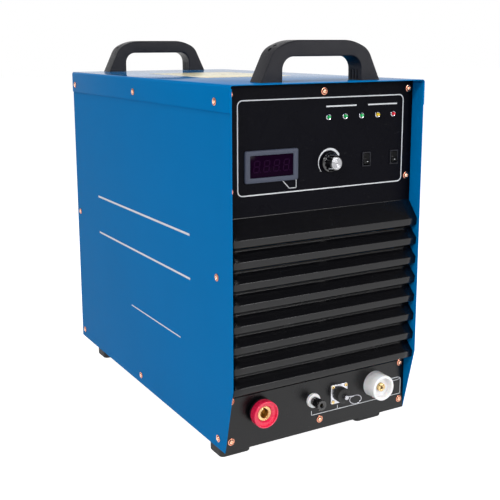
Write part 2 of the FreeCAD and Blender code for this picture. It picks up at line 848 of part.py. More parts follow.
def connector_panel():
    top = CONNECTOR_TOP - SEAT
    sheet = along([(-PANEL_HALF, PANEL_GAP), (PANEL_HALF, PANEL_GAP), (PANEL_HALF, top), (-PANEL_HALF, top)],
                  PANEL_Y, PANEL_BACK)
    holes = [drill(x, PANEL_Y, PANEL_BACK, z, SCREW_R + SCREW_FIT)
             for x, z in front_screw_places() if z < CONNECTOR_TOP]
    holes.append(drill(WORK_X, PANEL_Y, PANEL_BACK, WORK_Z, WORK_THREAD_R + SEAT, 8))
    holes.append(drill(TORCH_X, PANEL_Y, PANEL_BACK, TORCH_Z, TORCH_SPIGOT_R + SEAT, SMALL_SIDES))
    holes.append(drill(POST_PIN_X, PANEL_Y, PANEL_BACK, POST_PIN_Z, STUD_R + PANEL_GAP))
    holes.append(drill(PLUG_X, PANEL_Y, PANEL_BACK, PLUG_Z, PLUG_BARREL_R + PANEL_GAP, 12))
    save("connector_panel", less(sheet, holes))


def louvre_line():
    """The outer face of the folded louvres from top to bottom, as (y, z) points with their fold radii."""
    points = [(PANEL_Y, CREASE_Z - SEAT, 0), (PANEL_Y, HOOD_Z, 0)]
    for i in range(LIP_COUNT):
        top = LIP_TOP - i * LIP_PITCH
        foot = top - LIP_DROP
        points += [(LIP_Y, top, FOLD_R), (LIP_Y + LIP_LEAN, foot, FOLD_R)]
        if i < LIP_COUNT - 1:
            points.append((NOTCH_Y, foot - NOTCH_DROP, 0))
    points.append((PANEL_BACK, CONNECTOR_TOP + SEAT, 0))
    return points


def set_back(points, depth):
    """The points of a line moved squarely off it by a depth, for the inner face of a folded sheet."""
    moved = []
    for i, (y, z, _) in enumerate(points):
        normals = []
        for j in (i - 1, i):
            if 0 <= j < len(points) - 1:
                dy, dz = points[j + 1][0] - points[j][0], points[j + 1][1] - points[j][1]
                normals.append(V(-dz, dy, 0).normalize())
        mean = (normals[0] + normals[-1]).normalize()
        reach = depth / mean.dot(normals[0])
        moved.append((y + mean.x * reach, z + mean.y * reach))
    return moved


def louvre_fascia():
    """One sheet folded into overhanging lips, with air slots punched through the underside of each."""
    line = louvre_line()
    front = chorded(line, FOLD_STEPS)
    back = set_back(line, PLATE)
    back[0] = (PANEL_BACK, CREASE_Z - SEAT)
    back[-1] = (PANEL_BACK, CONNECTOR_TOP + SEAT + PLATE)
    folded = across(front + back[::-1], -PANEL_HALF, PANEL_HALF)
    cheek = across(front + back[:1], -PANEL_HALF, -PANEL_HALF + PLATE)
    flange = box(-PANEL_HALF, -POST_OUT + POST_X, PANEL_Y, PANEL_BACK,
                 CONNECTOR_TOP + LOUVRE_FLANGE_GAP, CREASE_Z - SEAT)
    sheet = joined([folded, cheek, mirrored(cheek), flange, mirrored(flange)])
    slots = []
    for i in range(LIP_COUNT):
        foot = LIP_TOP - i * LIP_PITCH - LIP_DROP
        y0 = LIP_Y + LIP_LEAN + SLOT_FRONT
        for x in spaced(SLOT_COUNT, SLOT_PITCH):
            slots.append(box(x - SLOT_LEN / 2, x + SLOT_LEN / 2, y0, y0 + SLOT_DEPTH,
                             foot - NOTCH_DROP - PLATE, foot + PLATE))
    save("louvre_fascia", less(sheet, slots))


def rear_panel():
    sheet = along([(-PANEL_HALF, PANEL_GAP), (PANEL_HALF, PANEL_GAP), (PANEL_HALF, PANEL_TOP),
                   (-PANEL_HALF, PANEL_TOP)], REAR_FRONT, REAR_Y)
    holes = [drill(x, REAR_FRONT, REAR_Y, z, SCREW_R + SCREW_FIT) for x, z in rear_screw_places()]
    for x in (-FAN_X, FAN_X):
        holes.append(drill(x, REAR_FRONT, REAR_Y, FAN_Z, FAN_BORE_R, FAN_SIDES))
    nose = rectangle(BREAKER_X, BREAKER_Z, BREAKER_W + 2 * PANEL_GAP, BREAKER_NOSE_H + 2 * PANEL_GAP)
    holes.append(along(nose, REAR_FRONT, REAR_Y))
    holes.append(drill(GLAND_X, REAR_FRONT, REAR_Y, GLAND_Z, GLAND_R + SEAT, 8))
    holes.append(drill(INLET_X, REAR_FRONT, REAR_Y, INLET_Z, INLET_R + SEAT, 8))
    holes.append(drill(EARTH_X, REAR_FRONT, REAR_Y, EARTH_Z, EARTH_R + SEAT, 8))
    save("rear_panel", less(sheet, holes))


# Handles and feet

def handle(y):
    """A moulded arch with a finger gap, grooved on the inside of its legs."""
    y0, y1 = y - HANDLE_D / 2, y + HANDLE_D / 2
    base = CASE_H + SEAT
    top, gap = CASE_H + HANDLE_H, CASE_H + HANDLE_GAP_H
    profile = [(-HANDLE_HALF, base), (-HANDLE_TOP_HALF, top, HANDLE_ROUND),
               (HANDLE_TOP_HALF, top, HANDLE_ROUND), (HANDLE_HALF, base), (HANDLE_GAP_HALF, base),
               (HANDLE_GAP_HALF, gap, HANDLE_GAP_ROUND), (-HANDLE_GAP_HALF, gap, HANDLE_GAP_ROUND),
               (-HANDLE_GAP_HALF, base)]
    arch = along(chorded(profile, HANDLE_STEPS), y0, y1)
    rims = [e for e in arch.Edges if (at_y(e, y0) or at_y(e, y1)) and e.BoundBox.ZMax > base + 1]
    arch = arch.makeChamfer(HANDLE_EDGE, [e for e in rims if not in_gap(e)])
    rims = [e for e in arch.Edges if (at_y(e, y0) or at_y(e, y1)) and e.BoundBox.ZMax > base + 1]
    arch = arch.makeChamfer(HANDLE_LIP, [e for e in rims if in_gap(e)])
    cuts = []
    reach = HANDLE_GAP_HALF + HANDLE_GROOVE_DEEP
    for dy in spaced(HANDLE_GROOVE_COUNT, HANDLE_GROOVE_PITCH):
        cuts.append(box(-reach, reach, y + dy - HANDLE_GROOVE / 2, y + dy + HANDLE_GROOVE / 2, CASE_H,
                        gap - HANDLE_GAP_ROUND))
    for x in (-HANDLE_BOLT_X, HANDLE_BOLT_X):
        cuts.append(down_drill(x, y, CASE_H, base + BOLT_DEEP, BOLT_R + SCREW_FIT))
    return less(arch, cuts)


def in_gap(edge):
    """Whether an edge of the handle borders its finger gap."""
    middle = edge.valueAt((edge.FirstParameter + edge.LastParameter) / 2)
    return abs(middle.x) < HANDLE_GAP_HALF + 0.5 and middle.z < CASE_H + HANDLE_GAP_H + 0.5


def handles():
    save("handle_front", handle(HANDLE_FRONT_Y))
    save("handle_rear", handle(HANDLE_REAR_Y))


def foot(x, y):
    """A moulded rubber block with a well for its bolt head."""
    block = upward(chorded(rectangle(x, y, FOOT_W, FOOT_D, FOOT_ROUND), 1), -FOOT_H, -SEAT)
    block = block.makeChamfer(FOOT_EDGE, [e for e in block.Edges if e.BoundBox.ZMax < 1e-4 - FOOT_H])
    well = down_drill(x, y, -FOOT_H, FOOT_WELL_DEEP - FOOT_H, FOOT_WELL_R, SMALL_SIDES)
    return less(block, [well, down_drill(x, y, -FOOT_H, 0, BOLT_R + SCREW_FIT)])


def feet():
    save("rubber_feet", *[foot(x, y) for x, y in foot_places()])


def bolt(x, y, seat, tip):
    """A hexagon bolt that points up from its seat to its tip."""
    head = upward(hexagon(x, y, BOLT_AF), seat - BOLT_HEAD_H, seat)
    return joined([head, upward(regular(x, y, BOLT_R, 4), seat, tip)])


def frame_bolts():
    """The bolts that hold the handles from under the top rails, and those that hold the feet."""
    bolts = [bolt(x, y, FRAME_TOP - TRAY, CASE_H + BOLT_DEEP - BOLT_END_GAP) for x, y in handle_bolt_places()]
    for x, y in foot_places():
        nut = upward(hexagon(x, y, BOLT_AF), TRAY, TRAY + NUT_T)
        bolts.append(joined([bolt(x, y, FOOT_WELL_DEEP - FOOT_H, TRAY + NUT_T), nut]))
    save("frame_bolts", *bolts)


# Control panel fittings

def meter():
    """A bezel and housing in one moulding, a tinted window behind its lip and the display."""
    front = PANEL_Y - METER_PROUD
    lip = front + WINDOW_SET
    rim = along(chorded(rectangle(METER_X, METER_Z, METER_W, METER_H, METER_ROUND), 2), front, PANEL_Y)
    rim = rim.makeChamfer(METER_EDGE, [e for e in rim.Edges if at_y(e, front)])
    shell = along(rectangle(METER_X, METER_Z, METER_BODY_W, METER_BODY_H), PANEL_Y, PANEL_Y + METER_BODY_D)
    room_w, room_h = METER_BODY_W - 2 * METER_WALL, METER_BODY_H - 2 * METER_WALL
    hollow = along(rectangle(METER_X, METER_Z, room_w, room_h), lip, PANEL_Y + METER_BODY_D)
    sight = along(rectangle(METER_X, METER_Z, WINDOW_W, WINDOW_H), front, lip)
    save("meter_bezel", less(joined([rim, shell]), [hollow, sight]))
    room_w, room_h = room_w - 2 * SEAT, room_h - 2 * SEAT
    pane = along(rectangle(METER_X, METER_Z, room_w, room_h), lip + SEAT, lip + SEAT + WINDOW_T)
    save("meter_window", pane)
    board_y = lip + WINDOW_T + DIGIT_DEEP
    card = along(rectangle(METER_X, METER_Z, room_w, room_h), board_y, board_y + BOARD_T)
    digits = [along(rectangle(METER_X + dx, METER_Z, DIGIT_W, DIGIT_H), lip + WINDOW_T + 2 * SEAT, board_y)
              for dx in spaced(DIGIT_COUNT, DIGIT_PITCH)]
    save("meter_display", joined([card] + digits))


def potentiometer():
    """The body behind the panel, its threaded bush through it, and its solder pins."""
    body = bar(KNOB_X, PANEL_BACK + SEAT, PANEL_BACK + POT_D, KNOB_Z, POT_R, PLAIN_SIDES)
    bush = bar(KNOB_X, PANEL_Y - BUSH_OUT, PANEL_BACK + OVERLAP, KNOB_Z, BUSH_R, PLAIN_SIDES)
    bore = drill(KNOB_X, PANEL_Y - BUSH_OUT, PANEL_BACK + POT_D, KNOB_Z, SHAFT_R + RUN_FIT, PLAIN_SIDES)
    pin_y = PANEL_BACK + POT_PIN_Y
    terminals = [box(KNOB_X + dx - POT_PIN_W / 2, KNOB_X + dx + POT_PIN_W / 2, pin_y, pin_y + POT_PIN_T,
                     KNOB_Z - POT_R - POT_PIN_L, KNOB_Z - POT_R + 2 * OVERLAP)
                 for dx in spaced(POT_PIN_COUNT, POT_PIN_PITCH)]
    save("potentiometer", less(joined([body, bush] + terminals), [bore]))


def fluted(x, z, y0, y1, r0, r1, flutes, depth):
    """A tapered grip from radius r0 at y0 to r1 at y1, with V flutes along it."""
    rings = []
    for y, r in ((y0, r0), (y1, r1)):
        shape = ((0, r * (1 - depth)), (FLUTE_SHARE, r), (1 - FLUTE_SHARE, r))
        polar = [(2 * math.pi * (i + part) / flutes, radius) for i in range(flutes) for part, radius in shape]
        rings.append([V(x + radius * math.cos(t), y, z + radius * math.sin(t)) for t, radius in polar])
    return skinned(rings)


def knob():
    back = PANEL_Y - KNOB_LIFT
    front = PANEL_Y - KNOB_TIP
    face = front + KNOB_CAP_T
    neck = back - KNOB_SKIRT_H
    skirt = turned(KNOB_X, KNOB_Z, [(0, back), (KNOB_SKIRT_R, back), (KNOB_SKIRT_R, back - KNOB_SKIRT_EDGE),
                                    (KNOB_BODY_R + KNOB_LEDGE, neck), (0, neck)])
    grip = fluted(KNOB_X, KNOB_Z, face, neck + SEAT, KNOB_NOSE_R, KNOB_BODY_R, KNOB_FLUTE_COUNT,
                  KNOB_FLUTE_SHARE)
    shaft = rod(KNOB_X, neck, KNOB_Z, SHAFT_R, PANEL_BACK + POT_D / 2 - neck)
    save("current_knob", joined([skirt, grip, shaft]))
    save("knob_cap", bar(KNOB_X, front, face, KNOB_Z, KNOB_CAP_R))


def switch_housing(x):
    bezel = along(rectangle(x, SWITCH_Z, BEZEL_W, BEZEL_H), PANEL_Y - BEZEL_T, PANEL_Y)
    body = along(rectangle(x, SWITCH_Z, SWITCH_BODY_W, SWITCH_BODY_H), PANEL_Y, PANEL_Y + SWITCH_BODY_D)
    well = along(rectangle(x, SWITCH_Z, SWITCH_WELL_W, SWITCH_WELL_H), PANEL_Y - BEZEL_T,
                 PANEL_Y + SWITCH_WELL_D)
    half_axle = SWITCH_WELL_W / 2 + ROCKER_PIN
    axle = side_drill(x - half_axle, x + half_axle, rocker_y(), SWITCH_Z, ROCKER_PIN_R + RUN_FIT, SMALL_SIDES)
    tab_y = PANEL_Y + SWITCH_BODY_D
    tabs = [box(x - SWITCH_TAB_W / 2, x + SWITCH_TAB_W / 2, tab_y, tab_y + SWITCH_TAB_L,
                SWITCH_Z + dz - SWITCH_TAB_T / 2, SWITCH_Z + dz + SWITCH_TAB_T / 2)
            for dz in spaced(2, SWITCH_TAB_PITCH)]
    return less(joined([bezel, body] + tabs), [well, axle])


def rocker_y():
    """The pivot of a rocker, set so that its pressed half lies just inside the bezel."""
    return PANEL_Y - BEZEL_T + ROCKER_SET + ROCKER_FACE


def rocker(x):
    """A rocker with a shallow valley across its face, at rest with its upper half pressed in."""
    y = rocker_y()
    rise = ROCKER_HALF_H * math.tan(math.radians(ROCKER_TILT))
    z = SWITCH_Z
    hub_y = y + math.sqrt(ROCKER_HUB_R ** 2 - ROCKER_HUB_HALF ** 2)
    profile = [(hub_y, z - ROCKER_HUB_HALF), (y + ROCKER_BACK, z - ROCKER_HALF_H),
               (y - ROCKER_FACE - rise, z - ROCKER_HALF_H), (y - ROCKER_FACE, z),
               (y - ROCKER_FACE - rise, z + ROCKER_HALF_H), (y + ROCKER_BACK, z + ROCKER_HALF_H),
               (hub_y, z + ROCKER_HUB_HALF)]
    paddle = backed(profile, (y + ROCKER_HUB_R, z), x - ROCKER_HALF_W, x + ROCKER_HALF_W)
    half_pin = SWITCH_WELL_W / 2 + ROCKER_PIN - PANEL_GAP
    pin = across(regular(y, z, ROCKER_PIN_R, SMALL_SIDES), x - half_pin, x + half_pin)
    return joined([paddle, pin]).rotated(V(x, y, z), V(1, 0, 0), -ROCKER_TILT)


def switches():
    save("switch_housings", *[switch_housing(x) for x in SWITCH_X])
    for side, x in zip(("left", "right"), SWITCH_X):
        save("rocker_" + side, rocker(x))


def lamps():
    """Bezel rings pressed into the panel, each round a lens."""
    holders = []
    lenses = {"green": [], "yellow": [], "red": []}
    front = PANEL_Y - LED_RIM_T
    for x, colour in zip(lamp_places(), LED_COLOUR):
        rim = bar(x, front, PANEL_Y, LED_Z, LED_RIM_R, 8)
        holders.append(less(rim, [drill(x, front, PANEL_Y, LED_Z, LED_R, 8)]))
        lenses[colour].append(bar(x, front - LED_TIP, PANEL_Y + LED_LONG, LED_Z, LED_R, 8))
    save("lamp_holders", *holders)
    for colour, solids in lenses.items():
        save("lamp_" + colour, *solids)


# Front sockets

def work_socket():
    """A red insulated socket with a keyed brass bore."""
    tip = PANEL_Y - WORK_TIP
    base = PANEL_Y - WORK_BASE_T
    step = tip + WORK_STEP
    brass = tip + WORK_BRASS_SET
    red = [(WORK_R, base - SEAT), (WORK_R, tip + WORK_EDGE), (WORK_R - WORK_EDGE, tip),
           (WORK_R - WORK_RIM, tip), (WORK_R - WORK_RIM, step), (WORK_STEP_R, step),
           (WORK_BRASS_FIT, brass - WORK_CONE_END), (WORK_BRASS_FIT, base - SEAT)]
    save("work_socket_ring", turned(WORK_X, WORK_Z, red))
    black = [(WORK_BASE_R, PANEL_Y), (WORK_BASE_R, base), (WORK_BRASS_FIT, base),
             (WORK_BRASS_FIT, PANEL_Y)]
    save("work_socket_base", turned(WORK_X, WORK_Z, black))
    tail = PANEL_BACK + WORK_TAIL
    insert = joined([bar(WORK_X, brass, PANEL_Y - SEAT, WORK_Z, WORK_BRASS_R),
                     bar(WORK_X, PANEL_Y - OVERLAP, tail, WORK_Z, WORK_THREAD_R, 8),
                     along(hexagon(WORK_X, WORK_Z, WORK_NUT_AF), PANEL_BACK + SEAT, PANEL_BACK + NUT_T)])
    bore = rod(WORK_X, brass, WORK_Z, WORK_BORE_R, WORK_BORE_DEEP)
    key = box(WORK_X - WORK_KEY_W / 2, WORK_X + WORK_KEY_W / 2, brass, brass + WORK_BORE_DEEP / 2, WORK_Z,
              WORK_Z + WORK_BORE_R + WORK_KEY_H)
    save("work_socket_contact", less(insert, [bore, key]))


def torch_socket():
    """A white moulded cup with a waist behind its rim, and a split brass contact."""
    tip = PANEL_Y - TORCH_TIP
    floor = tip + TORCH_BORE_DEEP
    neck = tip + TORCH_RIM_L
    flange = PANEL_Y - TORCH_FLANGE_T
    spigot = PANEL_BACK + TORCH_SPIGOT_L
    shell = [(0, tip), (TORCH_R - TORCH_EDGE, tip), (TORCH_R, tip + TORCH_EDGE), (TORCH_R, neck - TORCH_EDGE),
             (TORCH_WAIST_R, neck), (TORCH_WAIST_R, flange - TORCH_EDGE), (TORCH_FLANGE_R, flange),
             (TORCH_FLANGE_R, PANEL_Y), (0, PANEL_Y)]
    nut = joined([along(hexagon(TORCH_X, TORCH_Z, TORCH_NUT_AF), PANEL_BACK + SEAT, PANEL_BACK + NUT_T),
                  bar(TORCH_X, PANEL_Y, spigot, TORCH_Z, TORCH_SPIGOT_R, SMALL_SIDES)])
    cup = rod(TORCH_X, tip, TORCH_Z, TORCH_BORE_R, TORCH_BORE_DEEP)
    hole = drill(TORCH_X, floor, spigot, TORCH_Z, CONTACT_R + SEAT, 16)
    save("torch_socket_shell", less(joined([turned(TORCH_X, TORCH_Z, shell), nut]), [cup, hole]))
    front = floor + CONTACT_SET
    contact = bar(TORCH_X, front, spigot + CONTACT_TAIL, TORCH_Z, CONTACT_R, 16)
    bore = bar(TORCH_X, front, floor + CONTACT_BORE_DEEP, TORCH_Z, CONTACT_BORE_R, 10)
    half, slot = CONTACT_R + OVERLAP, CONTACT_SLOT / 2
    y1 = floor + CONTACT_SLOT_DEEP
    level = box(TORCH_X - half, TORCH_X + half, front, y1, TORCH_Z - slot, TORCH_Z + slot)
    upright = box(TORCH_X - slot, TORCH_X + slot, front, y1, TORCH_Z - half, TORCH_Z + half)
    save("torch_socket_contact", less(contact, [bore, level, upright]))


def pilot_post():
    """A white collar, a brass stud and a fluted thumb nut that screws along it."""
    collar_front = PANEL_Y - COLLAR_T
    collar = [(0, PANEL_Y), (COLLAR_R, PANEL_Y), (COLLAR_R, collar_front + COLLAR_EDGE),
              (COLLAR_R - COLLAR_EDGE, collar_front), (0, collar_front)]
    hole = drill(POST_PIN_X, collar_front, PANEL_Y, POST_PIN_Z, STUD_R + SEAT)
    save("pilot_post_collar", less(turned(POST_PIN_X, POST_PIN_Z, collar), [hole]))
    back, tip = collar_front - PANEL_GAP, PANEL_Y - THUMB_TIP
    stud = bar(POST_PIN_X, tip + STUD_SET, PANEL_BACK + STUD_TAIL, POST_PIN_Z, STUD_R, 12)
    nut = along(hexagon(POST_PIN_X, POST_PIN_Z, EARTH_NUT_AF), PANEL_BACK, PANEL_BACK + NUT_T)
    save("pilot_post_stud", joined([stud, nut]))
    neck = tip + THUMB_RIM_T
    grip = fluted(POST_PIN_X, POST_PIN_Z, neck, back, THUMB_R, THUMB_R, THUMB_FLUTE_COUNT,
                  THUMB_FLUTE_SHARE)
    rim = bar(POST_PIN_X, tip, neck, POST_PIN_Z, THUMB_RIM_R, 20)
    bore = drill(POST_PIN_X, tip, back, POST_PIN_Z, STUD_R + RUN_FIT, 12)
    save("pilot_post_nut", less(joined([grip, rim]), [bore]))


def control_connector():
    """A square chrome flange with a pin insert, and a dust cap with its wire ring."""
    face = PANEL_Y - PLUG_FLANGE_T
    corners = chorded(rectangle(PLUG_X, PLUG_Z, PLUG_FLANGE, PLUG_FLANGE, PLUG_ROUND), 2)
    heads = [bar(PLUG_X + a, face - PLUG_SCREW_T, face, PLUG_Z + b, PLUG_SCREW_R, 6)
             for a in spaced(2, PLUG_SCREW_PITCH) for b in spaced(2, PLUG_SCREW_PITCH)]
    barrel = bar(PLUG_X, face - PLUG_BARREL_L, PANEL_BACK + PLUG_TAIL, PLUG_Z, PLUG_BARREL_R)
    pins_room = bar(PLUG_X, face - PLUG_BARREL_L, face, PLUG_Z, PLUG_ROOM_R, PLAIN_SIDES)
    flange = joined([along(corners, face, PANEL_Y), barrel] + heads)
    save("connector_flange", less(flange, [pins_room]))
    floor = face - SEAT
    insert = bar(PLUG_X, floor - PLUG_INSERT_T, floor, PLUG_Z, PLUG_ROOM_R - SEAT, PLAIN_SIDES)
    pins = [bar(x, floor - PLUG_BARREL_L + OVERLAP, floor - PLUG_INSERT_T, z, PLUG_PIN_R, 4)
            for x, z in regular(PLUG_X, PLUG_Z, PLUG_PIN_CIRCLE_R, PLUG_PIN_COUNT, 45)]
    save("connector_insert", joined([insert] + pins))
    tip = PANEL_Y - CAP_TIP
    cup = [(0, tip), (CAP_R - CAP_EDGE, tip), (CAP_R, tip + CAP_EDGE), (CAP_R, face - PANEL_GAP),
           (0, face - PANEL_GAP)]
    hollow = drill(PLUG_X, tip + CAP_WALL, face - PANEL_GAP, PLUG_Z, PLUG_BARREL_R + PANEL_GAP, ROUND_SIDES)
    save("dust_cap", less(turned(PLUG_X, PLUG_Z, cup), [hollow]))
    crimp = bar(PLUG_X, tip - CRIMP_L, tip, PLUG_Z, CRIMP_R, 10)
    route = [V(PLUG_X + a, tip - CRIMP_L / 2, PLUG_Z + b) for a, b in RING_ROUTE]
    save("dust_cap_ring", joined([crimp, tube(route, RING_R, RING_BEND, 6)]))


# Fans, breaker and rear inlets

def fan_frame(x):
    """A square fan body with a round duct, and its motor cup on four arms at the outer end."""
    back = REAR_FRONT - SEAT
    front = back - FAN_D
    block = along(chorded(rectangle(x, FAN_Z, FAN_SIZE, FAN_SIZE, FAN_ROUND), 1), front, back)
    duct = drill(x, front, back, FAN_Z, FAN_BORE_R, FAN_SIDES)
    cup = bar(x, back - FAN_CUP_D, back, FAN_Z, FAN_HUB_R, PLAIN_SIDES)
    arm = box(x - FAN_ARM_W / 2, x + FAN_ARM_W / 2, back - FAN_ARM_T, back, FAN_Z + FAN_HUB_R / 2,
              FAN_Z + FAN_BORE_R + OVERLAP)
    arms = [arm.rotated(V(x, 0, FAN_Z), V(0, 1, 0), 45 + i * 360 / FAN_ARM_COUNT)
            for i in range(FAN_ARM_COUNT)]
    pin = bar(x, front + FAN_PIN_SET, back - FAN_CUP_D, FAN_Z, FAN_PIN_R, SMALL_SIDES)
    return joined([less(block, [duct]), cup, pin] + arms)


def fan_rotor(x):
    back = REAR_FRONT - SEAT - FAN_CUP_D - FAN_RUN_GAP
    front = REAR_FRONT - SEAT - FAN_D + FAN_ROTOR_SET
    hub = bar(x, front, back, FAN_Z, FAN_HUB_R, PLAIN_SIDES)
    middle = V(x, (front + back) / 2, FAN_Z)
    half = BLADE_CHORD / 2
    reach = math.sqrt(BLADE_TIP_R ** 2 - (half * math.cos(math.radians(BLADE_PITCH))) ** 2)
    flat = box(-half, half, -BLADE_T / 2, BLADE_T / 2, FAN_HUB_R / 2, reach)
    blade = flat.rotated(V(0, 0, 0), V(0, 0, 1), BLADE_PITCH).translated(middle)
    blades = [blade.rotated(middle, V(0, 1, 0), i * 360 / BLADE_COUNT) for i in range(BLADE_COUNT)]
    bore_y = front + FAN_PIN_SET / 2
    bore = rod(x, bore_y, FAN_Z, FAN_PIN_R + RUN_FIT, back - bore_y)
    return less(joined([hub] + blades), [bore])


def fan_guard(x):
    """Concentric wires on four radial wires, whose ends are turned to the panel at the fan's corners."""
    y1 = REAR_Y + GUARD_STANDOFF
    y0 = y1 - GUARD_WIRE
    outer = FAN_BORE_R + GUARD_WIRE
    step = outer / (GUARD_RING_COUNT + 0.5)
    pieces = []
    for i in range(GUARD_RING_COUNT):
        radius = outer - i * step
        ring = bar(x, y0, y1, FAN_Z, radius, GUARD_SIDES)
        pieces.append(less(ring, [bar(x, y0, y1, FAN_Z, radius - GUARD_WIRE, GUARD_SIDES)]))
    half = GUARD_WIRE / 2
    reach = FAN_SCREW_PITCH / math.sqrt(2)
    inner = outer - (GUARD_RING_COUNT - 1) * step - GUARD_WIRE
    spoke = across([(REAR_Y, FAN_Z + reach), (y0, FAN_Z + reach), (y0, FAN_Z + inner),
                    (y0 - GUARD_WIRE, FAN_Z + inner), (y0 - GUARD_WIRE, FAN_Z + reach - GUARD_WIRE),
                    (REAR_Y, FAN_Z + reach - GUARD_WIRE)], x - half, x + half)
    spokes = [spoke.rotated(V(x, 0, FAN_Z), V(0, 1, 0), 45 + i * 90) for i in range(4)]
    return pieces + spokes


def fans():
    save("fan_frames", fan_frame(-FAN_X), fan_frame(FAN_X))
    save("fan_rotor_left", fan_rotor(-FAN_X))
    save("fan_rotor_right", fan_rotor(FAN_X))
    save("fan_guards", *fan_guard(-FAN_X), *fan_guard(FAN_X))


def breaker():
    """A three pole breaker whose nose shows through the rear panel, with its ganged lever."""
    nose_y = REAR_Y + BREAKER_NOSE_D
    body_back = REAR_FRONT - BREAKER_SET
    nose, body = BREAKER_NOSE_H / 2, BREAKER_H / 2
    profile = [(nose_y, -nose), (nose_y, nose), (body_back, nose), (body_back, body),
               (body_back - BREAKER_BODY_D, body), (body_back - BREAKER_BODY_D, -body), (body_back, -body),
               (body_back, -nose)]
    block = across([(y, BREAKER_Z + dz) for y, dz in profile], BREAKER_X - BREAKER_W / 2,
                   BREAKER_X + BREAKER_W / 2)
    pivot = nose_y - LEVER_SET
    half = LEVER_W / 2 + PANEL_GAP
    pin_half = half + LEVER_PIN
    well = side_drill(BREAKER_X - half, BREAKER_X + half, pivot, BREAKER_Z, LEVER_R + PANEL_GAP, 16)
    axle = side_drill(BREAKER_X - pin_half, BREAKER_X + pin_half, pivot, BREAKER_Z, LEVER_PIN_R + RUN_FIT,
                      SMALL_SIDES)
    save("breaker_body", less(block, [well, axle]))
    x0, x1 = BREAKER_X - LEVER_W / 2, BREAKER_X + LEVER_W / 2
    flats = regular(pivot, BREAKER_Z, LEVER_R, PLAIN_SIDES, 90)
    crown = 2 * math.pi * 2 / PLAIN_SIDES
    through = (pivot + LEVER_R * math.cos(crown), BREAKER_Z + LEVER_R * math.sin(crown))
    drum = backed(flats[:-1], through, x0, x1)
    root, end = LEVER_ROOT_T / 2, LEVER_T / 2
    arm = across([(pivot, BREAKER_Z - root), (pivot + LEVER_LONG, BREAKER_Z - end),
                  (pivot + LEVER_LONG, BREAKER_Z + end), (pivot, BREAKER_Z + root)], x0, x1)
    pin_end = pin_half - PANEL_GAP
    pin = across(regular(pivot, BREAKER_Z, LEVER_PIN_R, SMALL_SIDES), BREAKER_X - pin_end,
                 BREAKER_X + pin_end)
    lever = joined([drum, arm, pin])
    save("breaker_lever", lever.rotated(V(0, pivot, BREAKER_Z), V(1, 0, 0), -LEVER_TILT))


def rear_inlets():
    """The mains gland with no lead in it, the air inlet nipple and the earth stud."""
    out = REAR_Y + GLAND_OUT
    rim = GLAND_AF / 2 - GLAND_DOME_INSET
    dome = turned(GLAND_X, GLAND_Z, [(0, REAR_Y + NUT_T), (rim, REAR_Y + NUT_T), (rim, out - GLAND_DOME),
                                     (GLAND_BORE_R + GLAND_LIP, out), (0, out)], PLAIN_SIDES)
    pieces = [dome, bar(GLAND_X, REAR_FRONT - GLAND_TAIL, REAR_Y, GLAND_Z, GLAND_R, 8)]
    for y in (REAR_FRONT - NUT_T, REAR_Y):
        pieces.append(along(hexagon(GLAND_X, GLAND_Z, GLAND_AF), y, y + NUT_T))
    bore = rod(GLAND_X, REAR_FRONT - GLAND_TAIL, GLAND_Z, GLAND_BORE_R, GLAND_OUT + GLAND_TAIL + PLATE)
    save("mains_gland", less(joined(pieces), [bore]))
    hex_end = REAR_Y + INLET_HEX
    pieces = [rod(INLET_X, hex_end, INLET_Z, INLET_R, INLET_OUT - INLET_HEX),
              along(hexagon(INLET_X, INLET_Z, INLET_AF), REAR_Y, hex_end),
              bar(INLET_X, REAR_FRONT - INLET_TAIL, REAR_Y, INLET_Z, INLET_R, 8)]
    bore = bar(INLET_X, REAR_FRONT - INLET_TAIL, REAR_Y + INLET_OUT, INLET_Z, INLET_BORE_R, 8)
    save("air_inlet", less(joined(pieces), [bore]))
    nuts = [along(hexagon(EARTH_X, EARTH_Z, EARTH_NUT_AF), y, y + NUT_T)
            for y in (REAR_FRONT - NUT_T, REAR_Y)]
    stud = rod(EARTH_X, REAR_Y + NUT_T, EARTH_Z, EARTH_R, EARTH_OUT - NUT_T)
    root = bar(EARTH_X, REAR_FRONT - EARTH_TAIL, REAR_Y, EARTH_Z, EARTH_R, 8)
    save("earth_stud", joined([stud, root] + nuts))


# Inside the case

def shelf():
    """The shelf between the air duct below and the boards above, with its lips against the posts."""
    half = POST_IN - SEAT
    y0 = FRAME_FRONT + PLATE + SEAT
    y1 = FRAME_BACK - PLATE - SEAT
    plate = box(-half, half, y0, y1, SHELF_Z, SHELF_Z + PLATE)
    lip = box(-half, -half + PLATE, y0, y1, SHELF_Z - SHELF_LIP, SHELF_Z)
    hole = down_drill(HOSE_X, HOSE_Y, SHELF_Z, SHELF_Z + PLATE, HOSE_R + HOSE_HOLE_FIT)
    save("mid_shelf", less(joined([plate, lip, mirrored(lip)]), [hole]))


